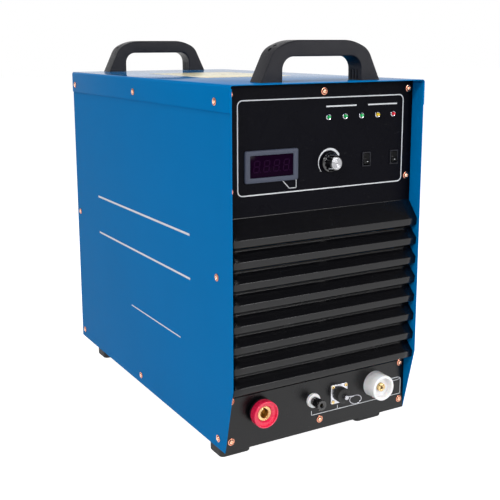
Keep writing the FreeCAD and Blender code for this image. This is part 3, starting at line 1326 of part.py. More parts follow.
def heat_sink():
    """A finned extrusion on two insulating bars, with the transistor modules and rectifier on it."""
    x0, x1 = SINK_X - SINK_W / 2, SINK_X + SINK_W / 2
    y0, y1 = SINK_Y, SINK_Y + SINK_L
    foot_z = TRAY_TOP + BAR_H + SEAT
    base_z = foot_z + SINK_FIN_H
    pitch = (SINK_W - SINK_FIN_T) / (SINK_FIN_COUNT - 1)
    base = box(x0, x1, y0, y1, base_z, base_z + SINK_BASE_T)
    fins = [box(SINK_X + dx - SINK_FIN_T / 2, SINK_X + dx + SINK_FIN_T / 2, y0, y1, foot_z, base_z)
            for dx in spaced(SINK_FIN_COUNT, pitch)]
    save("heat_sink", joined([base] + fins))
    bars = [box(x0, x1, y - BAR_W / 2, y + BAR_W / 2, TRAY_TOP, TRAY_TOP + BAR_H)
            for y in (y0 + BAR_INSET, y1 - BAR_INSET)]
    save("insulating_blocks", *bars, choke_saddle())
    top = base_z + SINK_BASE_T + SEAT
    modules = [power_module(SINK_X + dx, y0 + MODULE_INSET, top)
               for dx in spaced(MODULE_COUNT, MODULE_W + MODULE_GAP)]
    bridge_y = y0 + MODULE_INSET + MODULE_L + BRIDGE_GAP
    bridge_top = top + BRIDGE_H
    bridge = box(SINK_X - MODULE_L / 2, SINK_X + MODULE_L / 2, bridge_y, bridge_y + BRIDGE_D, top, bridge_top)
    studs = [upward(regular(SINK_X + dx, bridge_y + BRIDGE_D / 2, BRIDGE_STUD_R, 4), bridge_top,
                    bridge_top + BRIDGE_STUD_H) for dx in spaced(BRIDGE_STUD_COUNT, BRIDGE_STUD_PITCH)]
    save("power_modules", *modules, joined([bridge] + studs))


def power_module(x, y, z):
    """A transistor module with its row of terminals."""
    block = box(x - MODULE_W / 2, x + MODULE_W / 2, y, y + MODULE_L, z, z + MODULE_H)
    middle, top = y + MODULE_L / 2, z + MODULE_H
    terminals = [box(x - TERMINAL_W / 2, x + TERMINAL_W / 2, middle + dy - TERMINAL_D / 2,
                     middle + dy + TERMINAL_D / 2, top, top + TERMINAL_H)
                 for dy in spaced(TERMINAL_COUNT, TERMINAL_PITCH)]
    return joined([block] + terminals)


def transformer():
    """A ferrite core with its middle leg in the winding."""
    x0, x1 = CORE_X - CORE_W / 2, CORE_X + CORE_W / 2
    y0, y1 = CORE_Y, CORE_Y + CORE_D
    z0 = TRAY_TOP
    core = box(x0, x1, y0, y1, z0, z0 + CORE_H)
    leg = CORE_LEG
    gap_w = (CORE_W - 3 * leg) / 2
    middles = [CORE_X + s * (leg + gap_w) / 2 for s in (-1, 1)]
    windows = [box(x - gap_w / 2, x + gap_w / 2, y0, y1, z0 + CORE_YOKE, z0 + CORE_H - CORE_YOKE)
               for x in middles]
    save("transformer_core", less(core, windows))
    low, high = z0 + CORE_YOKE + COIL_GAP, z0 + CORE_H - CORE_YOKE - COIL_GAP
    outer_w, outer_d = leg + 2 * COIL_T, CORE_D + 2 * COIL_T
    winding = upward(chorded(rectangle(CORE_X, (y0 + y1) / 2, outer_w, outer_d, COIL_T), 3), low, high)
    hole = upward(rectangle(CORE_X, (y0 + y1) / 2, leg + 2 * SEAT, CORE_D + 2 * SEAT), low, high)
    save("transformer_winding", less(winding, [hole]))


def choke():
    """A ring core choke that stands on its edge in a saddle."""
    y1 = CHOKE_Y + CHOKE_D
    edge = CHOKE_EDGE
    ring = [(CHOKE_HOLE_R, CHOKE_Y + edge), (CHOKE_HOLE_R + edge, CHOKE_Y), (CHOKE_R - edge, CHOKE_Y),
            (CHOKE_R, CHOKE_Y + edge), (CHOKE_R, y1 - edge), (CHOKE_R - edge, y1), (CHOKE_HOLE_R + edge, y1),
            (CHOKE_HOLE_R, y1 - edge)]
    save("output_choke", turned(CHOKE_X, CHOKE_Z, ring, CHOKE_SIDES))


def choke_saddle():
    """A block cut to the choke's round edge."""
    block = box(CHOKE_X - SADDLE_W / 2, CHOKE_X + SADDLE_W / 2, CHOKE_Y + SADDLE_INSET,
                CHOKE_Y + CHOKE_D - SADDLE_INSET, TRAY_TOP, TRAY_TOP + SADDLE_H)
    return less(block, [bar(CHOKE_X, CHOKE_Y, CHOKE_Y + CHOKE_D, CHOKE_Z, CHOKE_R + SEAT, CHOKE_SIDES)])


def board(x, y, width, length, blocks):
    """A circuit board on four standoffs above the shelf, with blocks (dx, dy, width, length, height)."""
    z = SHELF_Z + PLATE + SEAT + BOARD_LIFT
    card = box(x - width / 2, x + width / 2, y, y + length, z, z + BOARD_T)
    legs = [upward(regular(x + dx, y + length / 2 + dy, STANDOFF_R, 4), z - BOARD_LIFT, z)
            for dx in spaced(2, width - 2 * STANDOFF_INSET) for dy in spaced(2, length - 2 * STANDOFF_INSET)]
    parts = [box(x + dx - w / 2, x + dx + w / 2, y + dy - d / 2, y + dy + d / 2, z + BOARD_T, z + BOARD_T + h)
             for dx, dy, w, d, h in blocks]
    return joined([card] + legs + parts)


def boards():
    """The control board, the pilot arc board and the row of bus capacitors on the shelf."""
    control = board(BOARD_X, BOARD_Y, BOARD_W, BOARD_L, CONTROL_BLOCKS)
    pilot_arc = board(ARC_BOARD_X, ARC_BOARD_Y, ARC_BOARD_W, ARC_BOARD_L, ARC_BLOCKS)
    save("circuit_boards", control, pilot_arc)
    z = SHELF_Z + PLATE + SEAT
    cans = [upward(regular(CAP_CAN_X + dx, CAP_CAN_Y, CAP_CAN_R, SMALL_SIDES), z, z + CAP_CAN_H)
            for dx in spaced(CAP_CAN_COUNT, CAP_CAN_PITCH)]
    save("bus_capacitors", *cans)


def air_line():
    """The solenoid valve behind the inlet, and the hose from it to the back of the torch socket."""
    y1 = REAR_FRONT - INLET_TAIL - SEAT
    y0 = y1 - VALVE_D
    half = VALVE_W / 2
    brass = box(INLET_X - half, INLET_X + half, y0, y1, INLET_Z - half, INLET_Z + half)
    plan = rectangle(INLET_X, (y0 + y1) / 2, VALVE_COIL, VALVE_COIL, VALVE_COIL_ROUND)
    coil = upward(chorded(plan, 1), INLET_Z + half, INLET_Z + half + VALVE_COIL_H)
    save("solenoid_valve", joined([brass, coil]))
    end_y = PANEL_BACK + TORCH_SPIGOT_L + CONTACT_TAIL + SEAT
    route = [V(INLET_X, y0 - SEAT, INLET_Z), V(INLET_X, y0 - HOSE_RUN, INLET_Z),
             V(HOSE_X, HOSE_Y, INLET_Z - HOSE_DROP), V(HOSE_X, HOSE_Y, SHELF_Z - HOSE_BELOW_SHELF),
             V(HOSE_X, HOSE_TURN_Y, HOSE_TURN_Z), V(TORCH_X, HOSE_LEAD_Y, TORCH_Z),
             V(TORCH_X, end_y, TORCH_Z)]
    save("air_hose", tube(route, HOSE_R, HOSE_BEND, HOSE_SIDES))


def tube(route, radius, bend, sides):
    """A tube of few sides along straight runs, with each turn of its route eased by chords of an arc."""
    points = [route[0]]
    for before, corner, after in zip(route, route[1:], route[2:]):
        arc = Part.Arc(*corner_arc(before, corner, after, bend)).toShape()
        points += arc.discretize(BEND_STEPS + 1)
    points.append(route[-1])
    ahead = (points[1] - points[0]).normalize()
    side = ahead.cross(V(0, 0, 1) if abs(ahead.z) < 0.9 else V(1, 0, 0)).normalize()
    up = side.cross(ahead)
    rings = [[points[0] + side * a + up * b for a, b in regular(0, 0, radius, sides)]]
    for i in range(1, len(points)):
        ahead = (points[i] - points[i - 1]).normalize()
        onward = (points[i + 1] - points[i]).normalize() if i + 1 < len(points) else ahead
        mitre = (ahead + onward).normalize()
        rings.append([c + ahead * ((points[i] - c).dot(mitre) / ahead.dot(mitre)) for c in rings[-1]])
    return skinned(rings)


def main():
    os.makedirs("parts", exist_ok=True)
    base_tray()
    corner_posts()
    top_rails()
    side_panels()
    top_cover()
    control_panel()
    connector_panel()
    louvre_fascia()
    rear_panel()
    handles()
    feet()
    frame_bolts()
    screws()
    meter()
    potentiometer()
    knob()
    switches()
    lamps()
    work_socket()
    torch_socket()
    pilot_post()
    control_connector()
    fans()
    breaker()
    rear_inlets()
    shelf()
    heat_sink()
    transformer()
    choke()
    boards()
    air_line()


main()
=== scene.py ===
import math

import bmesh
import bpy
import numpy as np
from bpy.props import FloatProperty, FloatVectorProperty, IntProperty, PointerProperty
from mathutils import Matrix, Vector


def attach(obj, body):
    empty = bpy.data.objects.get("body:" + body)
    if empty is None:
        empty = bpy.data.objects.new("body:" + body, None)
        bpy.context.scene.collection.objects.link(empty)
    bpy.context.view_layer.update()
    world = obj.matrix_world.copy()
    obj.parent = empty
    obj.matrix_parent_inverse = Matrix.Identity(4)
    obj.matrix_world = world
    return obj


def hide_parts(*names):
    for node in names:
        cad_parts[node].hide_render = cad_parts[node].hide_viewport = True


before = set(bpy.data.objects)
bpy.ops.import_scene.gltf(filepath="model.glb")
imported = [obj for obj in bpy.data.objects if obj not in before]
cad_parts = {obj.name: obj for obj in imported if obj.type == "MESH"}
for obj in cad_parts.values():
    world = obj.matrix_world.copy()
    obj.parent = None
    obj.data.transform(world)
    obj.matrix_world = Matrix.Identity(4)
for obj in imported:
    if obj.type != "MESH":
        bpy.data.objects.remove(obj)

bl_info = {
    "name": "Plasma cutter unit",
    "version": (1, 0, 0),
    "blender": (4, 5, 0),
    "location": "3D View > Sidebar > Cutter",
    "description": "Dresses the packed plasma cutter unit with finished pieces, materials and a stage",
    "category": "Object",
}

# Pieces are worked out in millimetres in the case frame, which has X to the right seen from the front,
# Y to the back from the front edge of the sides and Z up from their bottom edge.
CASE_ORIGIN = np.array((0.0, -317.0, 27.0))
CASE_HALF = 160.0
CASE_D = 607.0
CASE_H = 509.0
SHEET = 1.2
PLATE = 1.5
COVER_LOW = 473.0
PANEL_Y = 23.0
PANEL_BACK = 24.5
PANEL_HALF = 157.2
REAR_Y = 605.0
SIDE_OUT = 158.7
# Parts on either face of the rear sheet begin a little off it, and so do the nuts behind the front panels.
REAR_OUT = REAR_Y + 0.05
REAR_IN = REAR_Y - 1.6
NUT_Y = (PANEL_BACK + 0.1, 30.5)

SCREW_X = 149.0
MIDDLE_SCREWS = [(0, 496.0), (0, 15.5)]
FRONT_SCREWS = [(s * SCREW_X, z) for s in (-1, 1) for z in (496.0, 368.0, 75.0, 15.5)] + MIDDLE_SCREWS
REAR_SCREWS = [(s * SCREW_X, z) for s in (-1, 1) for z in (496.0, 249.0, 15.5)] + MIDDLE_SCREWS
SIDE_SCREWS = [(y, z) for z in (486.0, 15.0) for y in (42.5, 317.0, 592.0)] + [(42.5, 249.0), (592.0, 249.0)]

LIP_COUNT = 8
LIP_PITCH = 29.5
LIP_TOP = 305.5
LIP_Y = 3.4
LIP_DROP = 9.6
LIP_LEAN = 1.2
NOTCH_Y = 16.5
NOTCH_DROP = 7.4
CREASE_Z = 332.0
CONNECTOR_TOP = 78.5
SLOT_Y = (8.2, 13.8)
SLOT_HALF = 67.5
SLOT_X = (-73.5, 73.5)

HANDLE_Y = (42.0, 590.0)
HANDLE_RISE = 56.0
HANDLE_GAP = 34.0
HANDLE_FOOT = CASE_H + 0.1
FOOT_PLACES = [(x, y) for y in (78.5, 544.5) for x in (-120.5, 120.5)]

# Printed lines stand this far out of the sheet.
PRINT = 0.06
METER = (-85.0, 398.8)
KNOB = (10.5, 397.0)
SWITCHES = (("left", 74.5), ("right", 124.7))
SWITCH_Z = 397.0
LAMPS = ((7.8, "green"), (36.2, "green"), (64.6, "green"), (93.0, "yellow"), (121.4, "red"))
LAMP_Z = 460.0

WORK = (-102.5, 52.0)
TORCH = (100.0, 50.7)
POST = (-12.5, 48.0)
PLUG = (34.0, 49.0)

FANS = (("left", -66.0), ("right", 66.0))
FAN_Z = 168.0
BREAKER = (-82.0, 420.0)
LEVER_Y = 611.0
GLAND = (0.0, 420.0)
INLET = (84.0, 420.0)
EARTH = (118.0, 40.0)

SHARP = math.radians(40.0)
# Points closer than this, in metres, become one.
WELD = 2e-7


def srgb(red, green, blue):
    """The linear colour of an 8 bit screen colour."""
    levels = (red / 255, green / 255, blue / 255)
    return tuple(c / 12.92 if c <= 0.04045 else ((c + 0.055) / 1.055) ** 2.4 for c in levels)


def tint(label, text, rgb):
    return FloatVectorProperty(name=label, description=text, subtype="COLOR", size=3, min=0.0, max=1.0,
                               default=srgb(*rgb))


def size(label, text, default):
    return FloatProperty(name=label, description=text, unit="LENGTH", precision=5, min=0.0, default=default)


class CutterColours(bpy.types.PropertyGroup):
    """The colours of the unit's finishes."""
    blue_paint: tint("Case blue", "Powder coat of the sides and the top cover", (0, 110, 174))
    black_panel: tint("Panel black", "Paint of the control panel and the rear panel", (9, 9, 15))
    louvre_paint: tint("Louvre grey", "Powder coat of the louvres and the connector panel", (6, 6, 9))
    tray_metal: tint("Tray grey", "Painted base tray, posts and rails", (70, 72, 76))
    plated_steel: tint("Zinc plate", "Bright zinc plate of bolts and brackets", (188, 190, 192))
    yellow_zinc: tint("Screw plate", "Yellow passivated zinc of the screws' washers", (206, 140, 116))
    # The screw crown colour is a painted highlight, and the screw groove colour below it is painted shade.
    screw_crown: tint("Screw crown", "Brighter highlighted heads of the case screws", (246, 200, 172))
    screw_groove: tint("Screw groove", "Shaded groove between a screw's head and its washer", (66, 36, 30))
    black_plastic: tint("Black plastic", "Matt moulded plastic of handles and switches", (20, 20, 27))
    gloss_black: tint("Gloss black", "Polished moulding of the current knob and the thumb nut", (9, 9, 12))
    switch_black: tint("Switch black", "Smooth black of the rocker paddles", (7, 7, 9))
    grey_plastic: tint("Bezel grey", "Meter bezel", (66, 71, 86))
    rubber: tint("Rubber", "Feet and dust cap", (15, 15, 17))
    tint_pane: tint("Meter pane", "Tinted window of the meter", (16, 0, 20))
    display: tint("Display", "Unlit display behind the pane", (20, 14, 24))
    segments: tint("Segments", "Unlit bars of the display digits", (27, 2, 32))
    chrome: tint("Chrome", "Bright plated fittings", (168, 168, 174))
    flange_plate: tint("Flange plate", "Dull nickel plate of the connector flange", (196, 196, 202))
    aluminium: tint("Aluminium", "Turned cap and finned heat sink", (150, 150, 153))
    green_lens: tint("Green lens", "Lamps one to three", (8, 188, 94))
    yellow_lens: tint("Yellow lens", "Lamp four", (255, 212, 36))
    red_lens: tint("Red lens", "Lamp five", (232, 24, 50))
    red_plastic: tint("Socket red", "Ring of the work clamp socket", (226, 30, 74))
    white_plastic: tint("White plastic", "Torch socket and binding post collar", (238, 238, 240))
    brass: tint("Brass", "Contacts and unions", (222, 194, 140))
    board: tint("Board green", "Circuit boards", (20, 92, 52))
    copper: tint("Copper", "Windings", (178, 92, 52))
    ferrite: tint("Ferrite", "Transformer core", (52, 52, 55))
    hose: tint("Hose", "Air hose", (34, 84, 168))
    ink: tint("Print", "White lines printed on the panels", (204, 206, 210))
    sheet_sign: tint("Cover sheet", "Plain sheet laid on the top cover", (236, 224, 176))


class CutterSizes(bpy.types.PropertyGroup):
    """Sizes of the fine shapes that a user may change."""
    hem: size("Sheet edge", "Rounding of the cut edges of the case sheets", 0.0003)
    fold: size("Louvre fold", "Radius of the folds of the louvred sheet", 0.0016)
    grip_edge: size("Handle edge", "Rounding of the outer edges of the handles", 0.0022)
    screw_head: size("Screw head", "Radius of the washered screw heads", 0.0052)
    print_line: size("Printed line", "Width of the white frame line on the control panel", 0.0015)
    lens_dome: size("Lens dome", "Height of the lamp lenses above their rims", 0.0038)
    facets: IntProperty(name="Steps round", description="Facets round a turned piece", default=72, min=24,
                        max=160)


class CutterStage(bpy.types.PropertyGroup):
    """The floor, the light and the camera's lens."""
    floor: tint("Floor", "Colour of the floor", (236, 236, 236))
    world_light: FloatProperty(name="Room light", description="Strength of the light from all round",
                               default=0.62, min=0.0)
    key_light: FloatProperty(name="Key light", description="Power of the large soft lamp", unit="POWER",
                             default=36.0, min=0.0)
    lens: FloatProperty(name="Lens", description="Focal length of the camera", unit="CAMERA", default=62.45,
                        min=1.0)


def sizes():
    return bpy.context.scene.cutter_sizes


def mm(length):
    return length * 1000.0


# Shapes as whole arrays

# A shape is (points, quads, caps): an array of places, an array of four-cornered faces between them and a
# list of faces with more corners.

def lattice(rows, cols, ring_rows=False, ring_cols=True):
    """Quads between neighbours of a grid of points, which may close on itself in either direction."""
    i = np.arange(rows if ring_rows else rows - 1)[:, None]
    j = np.arange(cols if ring_cols else cols - 1)[None, :]
    here, below = i * cols, ((i + 1) % rows) * cols
    return np.stack([here + j, here + (j + 1) % cols, below + (j + 1) % cols, below + j], -1).reshape(-1, 4)


def skin(loops, ring=False, ends=True):
    """The surface through a row of loops: a function of the place along the row and round the loop."""
    loops = np.asarray(loops, float)
    rows, cols = loops.shape[:2]
    caps = [] if ring or not ends else [list(range(cols)), list(range((rows - 1) * cols, rows * cols))]
    return loops.reshape(-1, 3), lattice(rows, cols, ring), caps


def merged(shapes):
    starts = np.cumsum([0] + [len(shape[0]) for shape in shapes[:-1]])
    points = np.concatenate([shape[0] for shape in shapes])
    quads = np.concatenate([shape[1] + start for shape, start in zip(shapes, starts)])
    caps = [[i + int(start) for i in cap] for shape, start in zip(shapes, starts) for cap in shape[2]]
    return points, quads, caps


def moved(shape, offset):
    return shape[0] + np.asarray(offset, float), shape[1], shape[2]


def spun(shape, axis, degrees, about=(0.0, 0.0, 0.0)):
    """The shape turned about an axis through a point."""
    turn = np.array(Matrix.Rotation(math.radians(degrees), 3, axis))
    about = np.asarray(about, float)
    return (shape[0] - about) @ turn.T + about, shape[1], shape[2]


def around(t):
    """Places on the unit circle: (cos t, sin t)."""
    return np.stack([np.cos(t), np.sin(t)], 1)


def eased(corners, steps=6, closed=True):
    """An outline through corners (a, b, radius), each rounded by the arc tangent to both its sides."""
    places = np.array([corner[:2] for corner in corners], float)
    runs = []
    for k, corner in enumerate(corners):
        radius = corner[2] if len(corner) > 2 else 0.0
        if not radius or (not closed and k in (0, len(corners) - 1)):
            runs.append(places[k][None])
            continue
        u = places[k - 1] - places[k]
        w = places[(k + 1) % len(places)] - places[k]
        u, w = u / np.linalg.norm(u), w / np.linalg.norm(w)
        half = math.acos(float(np.clip(u @ w, -1, 1))) / 2
        middle = places[k] + (u + w) / np.linalg.norm(u + w) * radius / math.sin(half)
        start = places[k] + u * radius / math.tan(half) - middle
        end = places[k] + w * radius / math.tan(half) - middle
        t0, t1 = math.atan2(start[1], start[0]), math.atan2(end[1], end[0])
        t = t0 + ((t1 - t0 + math.pi) % (2 * math.pi) - math.pi) * np.linspace(0, 1, steps + 1)
        runs.append(middle + radius * around(t))
    return np.concatenate(runs)


def quarter_angles(steps):
    """Angles round a circle in four quarter turns, whose ends repeat, to match a rounded rectangle."""
    return np.concatenate([np.linspace(k, k + 1, steps + 1) for k in range(4)]) * math.pi / 2


def rounded_box(a, b, width, height, radius, steps=6):
    """A rounded rectangle about (a, b): the corner centres plus the radius at each angle of their turns."""
    t = quarter_angles(steps)
    side = np.repeat(np.array([(1, 1), (-1, 1), (-1, -1), (1, -1)]), steps + 1, axis=0)
    centres = side * (np.array((width, height)) / 2 - radius)
    return np.array((a, b)) + centres + radius * around(t)


def round_loop(a, b, radius, steps=6):
    t = quarter_angles(steps)
    return np.array((a, b)) + radius * around(t)


def inset(outline, depth):
    """Each point of an outline moved squarely inwards off both its sides by a depth."""
    steps = np.stack([outline - np.roll(outline, 1, 0), np.roll(outline, -1, 0) - outline])
    length = np.maximum(np.linalg.norm(steps, axis=2), 1e-9)
    normals = np.stack([-steps[..., 1], steps[..., 0]], -1) / length[..., None]
    mean = normals.sum(0)
    mean /= np.maximum(np.linalg.norm(mean, axis=1), 1e-9)[:, None]
    reach = depth / np.clip((mean * normals[0]).sum(1), 0.35, None)
    x, y = outline.T
    turn = np.sign((x * np.roll(y, -1) - np.roll(x, -1) * y).sum())
    return outline + mean * (reach * turn)[:, None]


def stand(outline, depth, axis):
    """Flat points set at a depth: they are (y, z) across X, (x, z) along Y and (x, y) up Z."""
    a, b = outline.T
    depth = np.broadcast_to(depth, a.shape)
    return np.stack({"X": (depth, a, b), "Y": (a, depth, b), "Z": (a, b, depth)}[axis], 1)


def edge_rows(lo, hi, edge, steps=4):
    """Pairs (inset, depth) that carry an outline from lo to hi with quarter round edges at both ends."""
    if edge <= 0:
        return [(0.0, lo), (0.0, hi)]
    t = np.linspace(0, math.pi / 2, steps + 1)
    first = list(zip(edge * (1 - np.sin(t)), lo + edge * (1 - np.cos(t))))
    return first + [(step, lo + hi - depth) for step, depth in reversed(first)]


def prism(outline, lo, hi, axis, edge=0.0, steps=4):
    """An outline carried along an axis from lo to hi, with rounded end edges."""
    return skin([stand(inset(outline, step), depth, axis) for step, depth in edge_rows(lo, hi, edge, steps)])


def block(x, y, z, edge):
    """A box between three pairs of limits with all its upright edges eased and its ends rounded."""
    (x0, x1), (y0, y1), (z0, z1) = x, y, z
    outline = rounded_box((x0 + x1) / 2, (y0 + y1) / 2, x1 - x0, y1 - y0, edge, 3)
    return prism(outline, z0, z1, "Z", edge, 3)


def turned(x, z, r, y, t, ring=False, ends=True):
    """Loops about the Y axis through (x, z), at radius r and depth y: x + r cos t, y, z + r sin t."""
    return skin(np.stack([x + r * np.cos(t), y + 0 * t, z + r * np.sin(t)], -1), ring, ends)


def circle(steps):
    return np.linspace(0, 2 * math.pi, steps, endpoint=False)


def lathe(profile, x, z, ring=False, steps=None):
    """A profile (radius, y) turned about the Y axis through (x, z)."""
    r, y = np.asarray(profile, float).T[:, :, None]
    return turned(x, z, r, y, circle(steps or sizes().facets), ring, ends=False)


def fluted(profile, x, z, flutes, start, end, least=0.0, steps=144, ring=True):
    """A turned profile with flutes: its radius less depth * (half + half cos(count t)) ^ power.

    flutes is (count, depth, power). The flutes fade in after one place (y, length) and out before another,
    and cut only where the radius is over the least."""
    count, depth, power = flutes
    r, y = np.asarray(profile, float).T[:, :, None]
    t = circle(steps)
    fade = np.clip((y - start[0]) / start[1], 0, 1) * np.clip((end[0] - y) / end[1], 0, 1) * (r > least)
    return turned(x, z, r - depth * fade * (0.5 + 0.5 * np.cos(count * t)) ** power, y, t, ring, ends=False)


def wire(radius, path, closed=False, up=(0.0, 1.0, 0.0)):
    """A round section carried along a path and kept square to it: path + side r cos t + over r sin t."""
    path = np.asarray(path, float)
    tangent = np.roll(path, -1, 0) - np.roll(path, 1, 0) if closed else np.gradient(path, axis=0)
    tangent /= np.linalg.norm(tangent, axis=1)[:, None]
    side = np.cross(tangent, up)
    side /= np.linalg.norm(side, axis=1)[:, None]
    over = np.cross(side, tangent)
    a, b = (radius * around(circle(12))).T[:, None, :, None]
    return skin(path[:, None] + side[:, None] * a + over[:, None] * b, closed)


def hex_nut(x, z, flats, y0, y1, bore):
    """A hexagon nut about a Y axis. Its radius is the hexagon's, and both ends are cut by a cone."""
    t = circle(60)
    flat = flats / 2 + 0 * t
    corner = flat / np.cos(t % (math.pi / 3) - math.pi / 6)
    face = flat * 0.97
    fall = (corner - face) * 0.5
    r = np.stack([face, corner, corner, face, bore + 0 * t, bore + 0 * t])
    y = np.stack([y0 + 0 * t, y0 + fall, y1 - fall, y1 + 0 * t, y1 + 0 * t, y0 + 0 * t])
    return turned(x, z, r, y, t, ring=True)


def thread(x, z, y0, y1, radius, depth, pitch):
    """A threaded rod along Y: the radius falls and rises with the height over the pitch less the turn."""
    y = np.linspace(y0, y1, max(int(abs(y1 - y0) / pitch * 8), 8))[:, None]
    t = circle(36)
    wave = np.abs(((y / pitch - t / (2 * math.pi)) % 1.0) * 2 - 1)
    ease = np.minimum(1.0, np.minimum(np.abs(y - y0), np.abs(y1 - y)) / (pitch * 0.6))
    return turned(x, z, radius - depth * (1 - wave * ease), y, t)


def ring_of(loops_2d, ys):
    """A ring of flat loops (x, z) at their depths along Y, closed back on its first loop."""
    return skin([stand(loop, y, "Y") for loop, y in zip(loops_2d, ys)], ring=True)


def stepped(x, z, rows, ring=False, steps=6):
    """Rounded rectangles (width, height, radius, y) about one centre, one behind the other."""
    return skin([stand(rounded_box(x, z, w, h, r, steps), y, "Y") for w, h, r, y in rows], ring)


# Objects

def put(name, data):
    """A new object, linked into the scene."""
    obj = bpy.data.objects.new(name, data)
    bpy.context.scene.collection.objects.link(obj)
    return obj


def closed_mesh(name, shapes):
    """One mesh of shapes, with its faces turned outwards, and smooth where they meet gently."""
    points, quads, caps = merged(shapes)
    mesh = bpy.data.meshes.new(name)
    mesh.from_pydata(((points + CASE_ORIGIN) * 0.001).tolist(), [], quads.tolist() + caps)
    tidy = bmesh.new()
    tidy.from_mesh(mesh)
    bmesh.ops.remove_doubles(tidy, verts=tidy.verts, dist=WELD)
    bmesh.ops.recalc_face_normals(tidy, faces=tidy.faces)
    tidy.to_mesh(mesh)
    tidy.free()
    mesh.polygons.foreach_set("use_smooth", np.ones(len(mesh.polygons), bool))
    mesh.set_sharp_from_angle(angle=SHARP)
    return mesh


def piece(name, shapes, finish, body="case", nodes=()):
    """Makes one object of shapes, riding on a body, in the place of the nodes that it replaces."""
    obj = put(name, closed_mesh(name, shapes))
    obj.data.materials.append(material(finish))
    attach(obj, body)
    if nodes:
        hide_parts(*nodes)
    return obj


def sunk(obj, shapes):
    """Cuts shapes out of a piece and keeps the result as its mesh."""
    cutter = put("cutter", closed_mesh("cutter", shapes))
    cut = obj.modifiers.new("Recess", "BOOLEAN")
    cut.operation, cut.solver, cut.object = "DIFFERENCE", "EXACT", cutter
    graph = bpy.context.evaluated_depsgraph_get()
    mesh = bpy.data.meshes.new_from_object(obj.evaluated_get(graph), depsgraph=graph)
    obj.modifiers.clear()
    obj.data = mesh
    bpy.data.objects.remove(cutter)
    mesh.set_sharp_from_angle(angle=SHARP)


def dress(finish, *nodes):
    """Gives CAD nodes that keep their shape their finish."""
    for node in nodes:
        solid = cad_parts[node]
        if not solid.material_slots:
            raise RuntimeError("%s has no material slot" % node)
        for slot in solid.material_slots:
            slot.material = material(finish)


# Materials

def add(tree, kind, values=(), **settings):
    node = tree.nodes.new(kind)
    for name, value in settings.items():
        setattr(node, name, value)
    for name, value in dict(values).items():
        socket = node.inputs[name]
        if isinstance(value, bpy.types.NodeSocket):
            tree.links.new(value, socket)
        else:
            socket.default_value = value
    return node


def maths(tree, operation, a, b, **settings):
    return add(tree, "ShaderNodeMath", {0: a, 1: b}, operation=operation, **settings).outputs[0]


def noise(tree, vector, scale, detail, roughness=0.5, **more):
    values = {"Vector": vector, "Scale": scale, "Detail": detail, "Roughness": roughness, **more}
    return add(tree, "ShaderNodeTexNoise", values).outputs["Fac"]


def clamp_range(tree, value, lo, hi, to_lo=0.0, to_hi=1.0):
    values = {"Value": value, "From Min": lo, "From Max": hi, "To Min": to_lo, "To Max": to_hi}
    return add(tree, "ShaderNodeMapRange", values).outputs["Result"]


def blend(tree, amount, colour, other):
    values = {"Factor": amount, "A": colour, "B": (*other, 1.0)}
    return add(tree, "ShaderNodeMix", values, data_type="RGBA").outputs["Result"]


def effect(name, output, **inputs):
    """An empty shader group with a place, its other inputs and one output, which is a colour or a number."""
    group = bpy.data.node_groups.new(name, "ShaderNodeTree")
    group.interface.new_socket("Vector", in_out="INPUT", socket_type="NodeSocketVector")
    for label, default in inputs.items():
        kind = "NodeSocketFloat" if isinstance(default, float) else "NodeSocketColor"
        group.interface.new_socket(label, in_out="INPUT", socket_type=kind).default_value = default
    kind = "NodeSocketColor" if output == "Colour" else "NodeSocketFloat"
    group.interface.new_socket(output, in_out="OUTPUT", socket_type=kind)
    return group, group.nodes.new("NodeGroupInput").outputs, group.nodes.new("NodeGroupOutput").inputs[output]


def tone_group():
    """Colour that drifts a little lighter and darker over the surface, with fine specks of dust."""
    group, at, result = effect("Surface tone", "Colour", Colour=(0.5, 0.5, 0.5, 1.0), Spread=0.1, Scale=8.0,
                               Specks=0.1)
    wide = clamp_range(group, noise(group, at["Vector"], at["Scale"], 4.0, 0.6), 0.3, 0.7, -0.5, 0.5)
    level = maths(group, "ADD", maths(group, "MULTIPLY", wide, at["Spread"]), 1.0)
    shaded = add(group, "ShaderNodeHueSaturation", {"Color": at["Colour"], "Value": level}).outputs["Color"]
    speck = clamp_range(group, noise(group, at["Vector"], SPECK_SCALE, 2.0), 0.66, 0.74)
    group.links.new(blend(group, maths(group, "MULTIPLY", speck, at["Specks"]), shaded, DUST), result)
    return group


def gloss_group():
    """Roughness that changes with smudges and fine handling marks."""
    group, at, result = effect("Surface gloss", "Roughness", Roughness=0.4, Spread=0.1, Scale=20.0)
    smudge = noise(group, at["Vector"], at["Scale"], 6.0, 0.65, Distortion=0.6)
    swing = maths(group, "MULTIPLY", clamp_range(group, smudge, 0.3, 0.72, -0.5, 0.5), at["Spread"])
    group.links.new(maths(group, "ADD", swing, at["Roughness"], use_clamp=True), result)
    return group


def relief_group():
    """Height of a coated or moulded surface: the soft cells of orange peel plus a finer grain."""
    group, at, result = effect("Surface relief", "Height", Scale=500.0, Peel=1.0, Grain=0.3)
    peel = noise(group, at["Vector"], at["Scale"], 1.0, 0.4)
    grain = noise(group, at["Vector"], maths(group, "MULTIPLY", at["Scale"], 4.3), 3.0, 0.6)
    low = maths(group, "MULTIPLY", peel, at["Peel"])
    high = maths(group, "MULTIPLY", grain, at["Grain"])
    group.links.new(maths(group, "ADD", low, high), result)
    return group


def rings_group():
    """Height of tool marks: fine rings about the Y axis, broken a little by noise."""
    group, at, result = effect("Turned rings", "Height", Scale=900.0)
    values = {"Vector": at["Vector"], "Scale": at["Scale"], "Distortion": 1.5, "Detail": 3.0,
              "Detail Scale": 2.0}
    rings = add(group, "ShaderNodeTexWave", values, wave_type="RINGS", rings_direction="Y")
    group.links.new(rings.outputs["Fac"], result)
    return group


